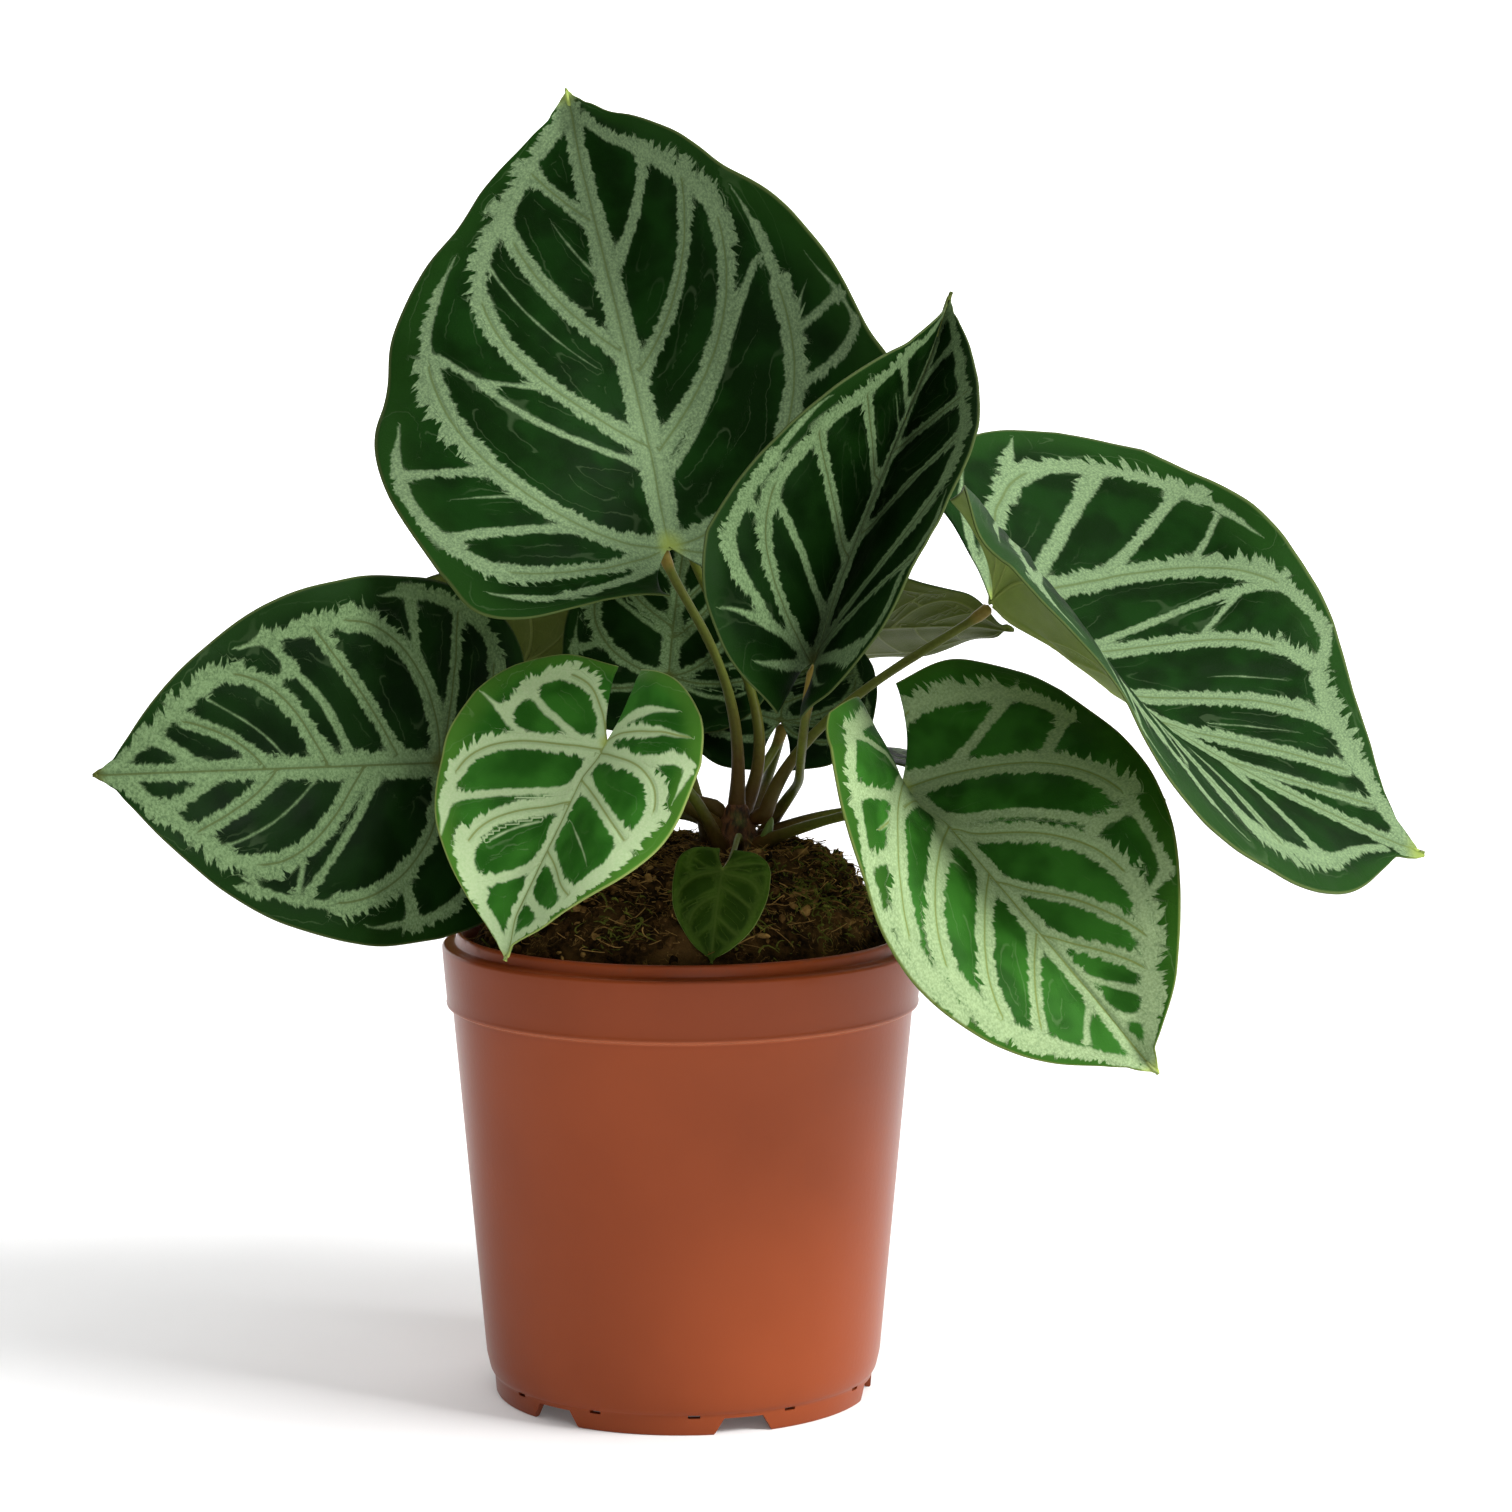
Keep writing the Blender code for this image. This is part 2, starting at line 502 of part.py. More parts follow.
def main():
    """Builds the pot, the soil, the crown and every leaf with its stalk."""
    clear_scene()
    plant = collection("potted_anthurium")
    helpers = collection("cutters", hidden=True)
    round_pieces = [make_pot(plant, helpers), make_crown(plant)]
    make_soil(plant, helpers)
    for name, leaf in LEAVES.items():
        make_blade(name, leaf, plant)
        round_pieces.append(make_stalk(name, leaf, plant))
    for piece in round_pieces:
        piece.data.shade_smooth()
        piece.data.set_sharp_from_angle(angle=math.radians(35))


main()
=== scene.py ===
"""A potted anthurium: heart-shaped leaves with silver veins over a terracotta-coloured nursery pot."""

import sys

import logging
import math
from dataclasses import dataclass, field
from enum import Enum
from typing import Any, Callable, Iterable, Iterator, Sequence

import bpy
import numpy as np
from mathutils import Matrix, Vector, noise


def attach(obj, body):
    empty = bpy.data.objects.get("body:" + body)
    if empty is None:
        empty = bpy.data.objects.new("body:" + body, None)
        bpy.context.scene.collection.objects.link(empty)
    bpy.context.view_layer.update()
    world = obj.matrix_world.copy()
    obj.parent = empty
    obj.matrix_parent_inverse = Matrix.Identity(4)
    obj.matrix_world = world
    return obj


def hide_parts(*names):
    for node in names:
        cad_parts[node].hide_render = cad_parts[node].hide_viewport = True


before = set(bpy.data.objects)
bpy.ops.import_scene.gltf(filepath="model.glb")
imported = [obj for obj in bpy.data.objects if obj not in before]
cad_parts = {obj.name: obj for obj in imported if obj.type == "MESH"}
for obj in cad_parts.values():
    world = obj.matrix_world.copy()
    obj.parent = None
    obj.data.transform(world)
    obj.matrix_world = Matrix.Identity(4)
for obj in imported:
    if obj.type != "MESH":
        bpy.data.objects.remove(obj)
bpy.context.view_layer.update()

LOG = logging.getLogger("anthurium")
MM = 0.001
BODY = "root"
SEED = 41
Object = bpy.types.Object
Material = bpy.types.Material
Array = np.ndarray
# Red, green and blue as on a screen, 0 to 255.
Colour = tuple[int, int, int]


class Side(Enum):
    """A half of a blade, seen from above with the tip ahead."""

    RIGHT = 1
    LEFT = -1

    @property
    def index(self) -> int:
        """Place of this half in a (left, right) pair."""
        return int(self is Side.RIGHT)


class LeafTone(Enum):
    """A leaf's greens: its own dark green, and for some leaves copies darkened as painted shade or brightened
    as painted light.
    """

    DARK = "dark_leaf"
    # The dark green, darkened as painted shade for leaves that lie in shade.
    SHADED_DARK = "deep_leaf"
    # The fresh green, darkened as painted shade.
    SHADED_FRESH = "ripe_leaf"
    # A lighter green, brightened further as painted light.
    LIT_FRESH = "fresh_leaf"
    # The young leaf's green, darkened as painted shade for its place under the other leaves.
    SHADED_YOUNG = "young_leaf"

    @property
    def slot(self) -> str:
        """The record's material slot."""
        return "dark_leaf" if self in (LeafTone.DARK, LeafTone.SHADED_DARK) else "fresh_leaf"


def linear(colour: Colour) -> tuple[float, ...]:
    """Scene-linear values of a screen colour."""
    return tuple(share / 12.92 if share <= 0.04045 else ((share + 0.055) / 1.055) ** 2.4
                 for share in (value / 255 for value in colour))


class Field:
    """A number, vector or colour in a shader, written as an expression."""

    def __init__(self, looks: "Looks", socket: Any) -> None:
        """Wraps an output socket of the material being made."""
        self.looks = looks
        self.socket = socket

    def _math(self, operation: str, *values: Any) -> "Field":
        """One Math node on these values."""
        return self.looks.node("ShaderNodeMath", {"operation": operation}, dict(enumerate(values)))

    def __add__(self, other: Any) -> "Field":
        """Sum."""
        return self._math("ADD", self, other)

    def __sub__(self, other: Any) -> "Field":
        """Difference."""
        return self._math("SUBTRACT", self, other)

    def __rsub__(self, other: Any) -> "Field":
        """Difference from a number."""
        return self._math("SUBTRACT", other, self)

    def __mul__(self, other: Any) -> "Field":
        """Product."""
        return self._math("MULTIPLY", self, other)

    def __abs__(self) -> "Field":
        """Size without sign."""
        return self._math("ABSOLUTE", self)

    __radd__ = __add__
    __rmul__ = __mul__

    def most(self, other: Any) -> "Field":
        """The larger of two."""
        return self._math("MAXIMUM", self, other)

    def step(self, low: float, high: float) -> "Field":
        """Smooth rise from 0 at low to 1 at high; it falls where high is the smaller."""
        ends = {1: low, 2: high, 3: 0.0, 4: 1.0} if low < high else {1: high, 2: low, 3: 1.0, 4: 0.0}
        return self.looks.node("ShaderNodeMapRange", {"interpolation_type": "SMOOTHSTEP"}, {0: self, **ends})

    def length(self) -> "Field":
        """Length of a vector."""
        return self.looks.node("ShaderNodeVectorMath", {"operation": "LENGTH"}, {0: self}, out="Value")

    def parts(self) -> tuple["Field", ...]:
        """The three components of a vector."""
        return tuple(self.looks.node("ShaderNodeSeparateXYZ", {}, {0: self}, out=axis) for axis in "XYZ")


class Looks:
    """Makes the nodes of one material or world."""

    def __init__(self, name: str, kind: str = "materials") -> None:
        """Starts a new material, or world, with Blender's plain nodes.

        Args:
            name: its name.
            kind: materials or worlds.
        """
        self.owner = getattr(bpy.data, kind).new(name)
        self.owner.use_nodes = True
        self.tree = self.owner.node_tree

    def fill(self, node: bpy.types.Node, values: dict[Any, Any]) -> None:
        """Sets or links inputs.

        Args:
            node: the node.
            values: for each input, by name or place, a Field, a number, a vector, or for a colour
                either red, green and blue of 0 to 255 or the linear value of a grey.
        """
        for key, value in values.items():
            socket = node.inputs[key]
            if isinstance(value, Field):
                self.tree.links.new(value.socket, socket)
            elif socket.type == "RGBA":
                rgb = linear(value) if isinstance(value, tuple) else (value,) * 3
                socket.default_value = (*rgb, 1.0)
            else:
                socket.default_value = value

    def node(self, kind: str, settings: dict[str, Any], values: dict[Any, Any], out: Any = 0) -> Field:
        """Adds a node.

        Args:
            kind: the node's type.
            settings: its own settings, set first.
            values: its inputs, as fill takes them.
            out: name or place of the output that is wanted.

        Returns:
            That output.
        """
        made = self.tree.nodes.new(kind)
        for key, value in settings.items():
            setattr(made, key, value)
        self.fill(made, values)
        return Field(self, made.outputs[out])

    def place(self) -> Field:
        """Object coordinates, in metres."""
        return self.node("ShaderNodeTexCoord", {}, {}, out="Object")

    def attribute(self, name: str) -> Field:
        """A vector attribute of the mesh."""
        return self.node("ShaderNodeAttribute", {"attribute_name": name}, {}, out="Vector")

    def vector(self, x: Any, y: Any, z: Any) -> Field:
        """A vector from its components."""
        return self.node("ShaderNodeCombineXYZ", {}, {0: x, 1: y, 2: z})

    def noise(self, where: Field, scale: float, detail: float = 2.0, rough: float = 0.5,
              distortion: float = 0.0) -> Field:
        """Fractal noise of 0 to 1, with scale cells in one unit, detail octaves and distortion as swirl."""
        return self.node("ShaderNodeTexNoise", {}, {"Vector": where, "Scale": scale, "Detail": detail,
                                                    "Roughness": rough, "Distortion": distortion}, out="Fac")

    def mix(self, share: Any, first: Any, second: Any, blend: str = "MIX") -> Field:
        """A colour between two, or their product with the blend MULTIPLY, by a share."""
        return self.node("ShaderNodeMix", {"data_type": "RGBA", "blend_type": blend, "clamp_factor": True},
                         {0: share, 6: first, 7: second}, out=2)

    def finish(self, values: dict[str, Any], shader: str = "Principled BSDF") -> Any:
        """The material or world, with these inputs of its shader."""
        self.fill(self.tree.nodes[shader], values)
        return self.owner

    def surface(self, colour: Field, relief: Field, depth: float, strength: float, rough: Any,
                level: float = 0.3, ior: float = 1.5) -> Material:
        """The material of a solid surface.

        Args:
            colour: base colour.
            relief: height that bends the normal.
            depth: the relief's depth in metres.
            strength: how much of it shows.
            rough: roughness.
            level: strength of the reflection.
            ior: index of refraction.

        Returns:
            The material.
        """
        normal = self.node("ShaderNodeBump", {}, {"Strength": strength, "Distance": depth, "Height": relief})
        return self.finish({"Base Color": colour, "Normal": normal, "Roughness": rough,
                            "Specular IOR Level": level, "IOR": ior})


class Workshop:
    """The modelling steps that the pieces share."""

    @staticmethod
    def clear() -> None:
        """Leaves edit mode and selects nothing."""
        if bpy.context.object is not None and bpy.context.object.mode != "OBJECT":
            bpy.ops.object.mode_set(mode="OBJECT")
        bpy.ops.object.select_all(action="DESELECT")

    @classmethod
    def pick(cls, *objects: Object) -> None:
        """Selects objects alone.

        Args:
            *objects: the objects; the first becomes the active one.
        """
        cls.clear()
        for one in objects:
            one.select_set(True)
        bpy.context.view_layer.objects.active = objects[0]

    @classmethod
    def start(cls, operator: Callable[..., Any], name: str, **settings: Any) -> Object:
        """Adds a primitive.

        Args:
            operator: the add operator.
            name: the new object's name.
            **settings: the operator's settings.

        Returns:
            The new object, selected and active.
        """
        cls.clear()
        operator(**settings)
        made = bpy.context.object
        made.name = made.data.name = name
        return made

    @staticmethod
    def edit() -> None:
        """Enters edit mode and selects all."""
        bpy.ops.object.mode_set(mode="EDIT")
        bpy.ops.mesh.select_all(action="SELECT")

    @classmethod
    def seat(cls, made: Object) -> None:
        """Puts an object's place, turn and size into its mesh."""
        cls.pick(made)
        bpy.ops.object.transform_apply(location=True, rotation=True, scale=True)

    @classmethod
    def apply(cls, made: Object, kind: str, **settings: Any) -> None:
        """Adds a modifier and applies it.

        Args:
            made: the object.
            kind: the modifier's type.
            **settings: its settings.
        """
        cls.pick(made)
        step = made.modifiers.new(kind.lower(), kind)
        for key, value in settings.items():
            setattr(step, key, value)
        bpy.ops.object.modifier_apply(modifier=step.name)

    @classmethod
    def cut(cls, made: Object, cutter: Object) -> None:
        """Takes a cutter from a body and removes the cutter."""
        cls.apply(made, "BOOLEAN", operation="DIFFERENCE", solver="EXACT", object=cutter)
        bpy.data.objects.remove(cutter, do_unlink=True)

    @classmethod
    def join(cls, name: str, objects: Sequence[Object]) -> Object:
        """Joins objects into one.

        Args:
            name: name of the result.
            objects: the objects.

        Returns:
            The joined object.
        """
        cls.pick(*objects)
        if len(objects) > 1:
            bpy.ops.object.join()
        made = bpy.context.object
        made.name = made.data.name = name
        return made

    @classmethod
    def smooth(cls, made: Object, angle: float = 40.0) -> None:
        """Shades smooth, apart from edges sharper than an angle in degrees."""
        cls.pick(made)
        bpy.ops.object.shade_smooth_by_angle(angle=math.radians(angle))

    @staticmethod
    def copy(pattern: Object, matrix: Matrix) -> Object:
        """Copies an object with its own mesh.

        Args:
            pattern: the object.
            matrix: place and turn of the copy.

        Returns:
            The copy.
        """
        made = pattern.copy()
        made.data = pattern.data.copy()
        made.matrix_world = matrix
        bpy.context.scene.collection.objects.link(made)
        return made

    @classmethod
    def rings(cls, name: str, profile: Sequence[tuple[float, float]], segments: int, closed: bool) -> Object:
        """Extrudes a circle ring by ring through radius and height pairs.

        Args:
            name: the new object's name.
            profile: radius and height pairs in mm.
            segments: points in a ring.
            closed: joins the last ring to the first, where otherwise both ends are filled.

        Returns:
            The new object, with its faces outward.
        """
        radius, height = profile[0]
        made = cls.start(bpy.ops.mesh.primitive_circle_add, name, vertices=segments, radius=radius * MM,
                         location=(0, 0, height * MM))
        cls.seat(made)
        cls.edit()
        for (old, low), (new, high) in zip(profile, profile[1:]):
            bpy.ops.mesh.extrude_region_move(TRANSFORM_OT_translate={"value": (0, 0, (high - low) * MM)})
            if abs(new - old) > 1e-9:
                bpy.ops.transform.resize(value=(new / old, new / old, 1), center_override=(0, 0, 0))
        bpy.ops.mesh.select_all(action="SELECT")
        bpy.ops.mesh.region_to_loop()
        if closed:
            bpy.ops.mesh.bridge_edge_loops()
        else:
            bpy.ops.mesh.edge_face_add()
            bpy.ops.mesh.select_all(action="SELECT")
            bpy.ops.mesh.fill_holes(sides=0)
        bpy.ops.mesh.select_all(action="SELECT")
        bpy.ops.mesh.normals_make_consistent(inside=False)
        bpy.ops.object.mode_set(mode="OBJECT")
        return made

    @classmethod
    def tube(cls, name: str, path: Array, radii: Array, finish: Material, resolution: int = 4) -> Object:
        """A closed tube on a path.

        Args:
            name: the new object's name.
            path: points in mm.
            radii: radius at each point in mm.
            finish: its material.
            resolution: the bevel's resolution.

        Returns:
            The tube as a mesh.
        """
        made = cls.start(bpy.ops.curve.primitive_bezier_curve_add, name)
        curve = made.data
        curve.splines.clear()
        line = curve.splines.new("POLY")
        line.points.add(len(path) - 1)
        for point, spot, radius in zip(line.points, path, radii):
            point.co = (*(float(v) * MM for v in spot), 1.0)
            point.radius = float(radius)
        curve.dimensions = "3D"
        curve.bevel_depth = MM
        curve.bevel_resolution = resolution
        curve.use_fill_caps = True
        cls.pick(made)
        bpy.ops.object.convert(target="MESH")
        cls.edit()
        bpy.ops.mesh.remove_doubles(threshold=1e-6)
        bpy.ops.mesh.normals_make_consistent(inside=False)
        bpy.ops.object.mode_set(mode="OBJECT")
        cls.smooth(made, 60)
        made.data.materials.append(finish)
        return made

    @staticmethod
    def attribute(made: Object, name: str, values: Array) -> None:
        """Stores a vector at each point of a mesh."""
        layer = made.data.attributes.new(name, "FLOAT_VECTOR", "POINT")
        layer.data.foreach_set("vector", np.ascontiguousarray(values, np.float32).ravel())

    @staticmethod
    def points(made: Object) -> Array:
        """Reads a mesh's points.

        Args:
            made: the object.

        Returns:
            The points in mm.
        """
        co = np.empty(len(made.data.vertices) * 3, np.float32)
        made.data.vertices.foreach_get("co", co)
        return co.reshape(-1, 3).astype(float) / MM

    @staticmethod
    def set_points(made: Object, points: Array) -> None:
        """Moves a mesh's points, given in mm."""
        made.data.vertices.foreach_set("co", (points * MM).astype(np.float32).ravel())
        made.data.update()


class Piece:
    """A finished piece of the plant that rides on the CAD body."""

    @staticmethod
    def settle(made: Object, slot: str, *nodes: str) -> Object:
        """Hangs a piece on the body and reports it.

        Args:
            made: the finished object.
            slot: the record's material slot; not used.
            *nodes: CAD nodes that the piece stands for.

        Returns:
            The same object.
        """
        if nodes:
            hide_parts(*nodes)
        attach(made, BODY)
        LOG.info("%s: %d faces", made.name, len(made.data.polygons))
        return made


def spline(stations: Sequence[Any], where: Array) -> Array:
    """A smooth curve through evenly spaced stations.

    Args:
        stations: numbers or tuples.
        where: shares of 0 to 1 to read it at.

    Returns:
        One row for each share.
    """
    points = np.atleast_2d(np.array(stations, float).T).T
    spans = len(points) - 1
    t = np.clip(where, 0, 1) * spans
    i = np.minimum(t.astype(int), spans - 1)
    f = (t - i)[..., None]
    padded = np.vstack([2 * points[0] - points[1], points, 2 * points[-1] - points[-2]])
    a, b, c, d = padded[i], padded[i + 1], padded[i + 2], padded[i + 3]
    return 0.5 * (2 * b + (c - a) * f + (2 * a - 5 * b + 4 * c - d) * f ** 2
                  + (3 * b - a - 3 * c + d) * f ** 3)


def ease(value: Any, low: float = 0.0, high: float = 1.0) -> Any:
    """Smooth rise from 0 at low to 1 at high."""
    share = np.clip((np.asarray(value, float) - low) / (high - low), 0, 1)
    return share * share * (3 - 2 * share)


def swing(angle: Array, first: Array, second: Array) -> Array:
    """The first direction turned by an angle towards the second, for each angle."""
    return np.cos(angle)[..., None] * first + np.sin(angle)[..., None] * second


def bezier(t: Array, *points: Array) -> Array:
    """A cubic curve from four points, at shares t of its way."""
    a, b, c, d = points
    return (1 - t) ** 3 * a + 3 * (1 - t) ** 2 * t * b + 3 * (1 - t) * t * t * c + t ** 3 * d


def off_zero(value: Array) -> Array:
    """The values, with a tiny one in place of zero."""
    return np.where(np.abs(value) < 1e-7, 1e-7, value)


def lumpy(points: Array, scale: float, seed: float = 0.0) -> Array:
    """Smooth noise of about -1 to 1 at points in mm; scale is a lump's size, seed shifts the pattern."""
    return np.array([noise.noise(Vector(point) / scale + Vector((seed, 2 * seed, -seed)))
                     for point in points])


# Half width of a stalk in mm, between its foot and its knee.
STALK_RADIUS = 1.15
# Outline of half a blade: across as a share of the half width, and along as a share of the
# length from the stalk to the tip, or of the lobe's reach where negative.
MARGIN = [(0.30, -0.97), (0.66, -0.90), (0.90, -0.45), (1.00, 0.10), (0.97, 0.34), (0.85, 0.53),
          (0.64, 0.70), (0.40, 0.83), (0.17, 0.915), (0.055, 0.955), (0.0, 1.0)]
# Where the rows that end at those places start on the midrib.
AXIS = [0.0, 0.0, 0.0, 0.03, 0.12, 0.26, 0.44, 0.62, 0.79, 0.89, 1.0]


@dataclass(frozen=True)
class LeafShape:
    """Form and stance of one leaf, in mm and degrees; pairs are the left and the right half.

    at is where the stalk meets the blade; turn is heading, pitch and roll; size is the way to the tip,
    the lobes' reach and both half widths. start is a facing and a height on the crown; leave, arrive
    and pull shape the stalk.
    """

    name: str
    at: tuple[float, float, float]
    turn: tuple[float, float, float]
    size: tuple[float, float, float, float]
    fold: tuple[float, float] = (12, 12)
    curl: tuple[float, float] = (-10, -10)
    arch: float = 15
    lobe_arch: float = 10
    twist: float = 0
    sway: float = 0
    lift: tuple[float, float] = (0, 0)
    opening: tuple[float, float] = (0, 0)
    cup: tuple[float, float] = (0, 0)
    sinus: tuple[float, float] = (0.15, 0.15)
    wave: float = 1.0
    start: tuple[float, float] | None = None
    leave: tuple[float, float] = (0, 30)
    arrive: float = 45
    pull: tuple[float, float] = (0.4, 0.22)
    tone: LeafTone = LeafTone.DARK
    cell: float = 1.5
    scallop: float = 0.006
    scallops: float = 31.0
    ripples: float = 3.5

    @property
    def length(self) -> float:
        """From the stalk to the tip."""
        return self.size[0]

    def directions(self) -> tuple[Array, Array, Array]:
        """Directions at the stalk's end.

        Returns:
            Unit vectors along the midrib, to the right, and out of the upper face.
        """
        heading, pitch, roll = np.radians(self.turn)
        level = math.cos(pitch)
        along = np.array([math.sin(heading) * level, -math.cos(heading) * level, math.sin(pitch)])
        right = np.array([-math.cos(heading), -math.sin(heading), 0.0])
        up = np.cross(right, along)
        return along, swing(roll, right, up), swing(roll, up, -right)

    def flat(self, side: Side, s: Array, a: Array) -> tuple[Array, Array]:
        """Place on the flat blade.

        Args:
            side: which half.
            s: share of the way along the margin, from the sinus to the tip.
            a: share of the way from the midrib out to the margin.

        Returns:
            Distance to the right of the midrib, and distance ahead of the stalk, in mm.
        """
        length, lobe, left, right = self.size
        sign = side.value
        margin = spline(MARGIN, s)
        reach_y = np.where(margin[..., 1] < 0, margin[..., 1] * lobe, margin[..., 1] * length)
        closing = (self.sinus[side.index] - MARGIN[0][0]) * np.clip(1 - s / 0.18, 0, 1)
        reach_x = (margin[..., 0] + closing) * (right if sign > 0 else left)
        axis = np.maximum(spline(AXIS, s)[..., 0], 0) * length
        dips = (0.5 + 0.5 * np.sin(self.scallops * s + 2 * side.index)) ** 2
        a = a * (1 - self.scallop * dips * ease(s, 0.15, 0.3) * (1 - ease(s, 0.8, 0.95)))
        x = reach_x * a
        y = axis + (reach_y - axis) * a
        size = np.maximum(np.hypot(reach_x, reach_y - axis), 1e-6)
        bow = size * 4 * a * (1 - a) * (0.05 - 0.13 * np.clip(1 - s / 0.2, 0, 1))
        return (x + (reach_y - axis) / size * bow) * sign, y - reach_x / size * bow

    def place(self, side: Side, x: Array, y: Array, s: Array, a: Array) -> Array:
        """Place in space of a place on the flat blade.

        Args:
            side: which half.
            x: distance to the right of the midrib in mm.
            y: distance ahead of the stalk in mm.
            s: share of the way along the margin.
            a: share of the way out to the margin.

        Returns:
            Points in mm.
        """
        along, right, up = self.directions()
        length, lobe, *widths = self.size
        sign, half = side.value, side.index
        arches = math.radians(self.arch) / length, math.radians(self.lobe_arch) / lobe
        bend = off_zero(np.where(y > 0, *arches))
        turned = bend * y
        centre = (np.sin(turned) / bend)[..., None] * along - ((1 - np.cos(turned)) / bend)[..., None] * up
        normal = swing(turned, up, along)
        twist = math.radians(self.twist) * np.clip(y / length, -1, 1)
        cross, normal = swing(twist, right, normal), swing(twist, normal, -right)
        fold = math.radians(self.fold[half]) + math.radians(self.opening[half]) * np.clip(y / length, 0, 1)
        lift = math.radians(self.lift[half]) * ease(y, 0.35 * length, -0.6 * lobe)
        curl = off_zero((math.radians(self.curl[half]) + lift) / widths[half])
        out = x * sign
        end = fold + curl * out
        aside = (np.sin(end) - np.sin(fold)) / curl
        height = (np.cos(fold) - np.cos(end)) / curl
        height = height + self.wave * a ** 3 * np.sin(2 * math.pi * self.ripples * s + length)
        sway = math.radians(self.sway) * np.maximum(y, 0) ** 2 / (2 * length)
        place = centre + (sign * aside + sway)[..., None] * cross + height[..., None] * normal
        cup = math.radians(self.cup[half]) * ease(np.degrees(np.arctan2(out, y + 1e-6)), 35, 150)
        return (np.array(self.at) + (place @ right)[..., None] * right
                + (place @ along)[..., None] * swing(cup, along, -up)
                + (place @ up)[..., None] * swing(cup, up, along))

    def stalk(self, crown: "CrownPiece", points: int = 61) -> Array:
        """Centre line in mm of the leaf's stalk, from the crown to the blade.

        Args:
            crown: the crown that it rises from.
            points: how many points.

        Returns:
            The points.
        """
        along, right, up = self.directions()
        spread = math.radians(self.fold[1] - self.fold[0]) / 2
        outward = math.sin(spread) * right - math.cos(spread) * up
        slope = math.radians(self.arrive)
        into = -math.cos(slope) * outward + math.sin(slope) * along
        end = np.array(self.at) + outward * (STALK_RADIUS + STALK_RADIUS * math.sin(slope)) + along * 0.5
        turn, rise = np.radians(self.leave)
        if self.start is None:
            start = np.array((crown.x, crown.y, crown.top))
        else:
            facing, height = math.radians(self.start[0]), self.start[1]
            radius = crown.radius(height) + 0.4 + 1.7 * math.sin(rise)
            start = np.array((crown.x + radius * math.sin(facing), crown.y - radius * math.cos(facing),
                              height))
        away = np.array((math.sin(turn) * math.cos(rise), -math.cos(turn) * math.cos(rise), math.sin(rise)))
        reach = np.linalg.norm(end - start)
        t = np.linspace(0, 1, points)[:, None]
        return bezier(t, start, start + away * reach * self.pull[0], end - into * reach * self.pull[1], end)


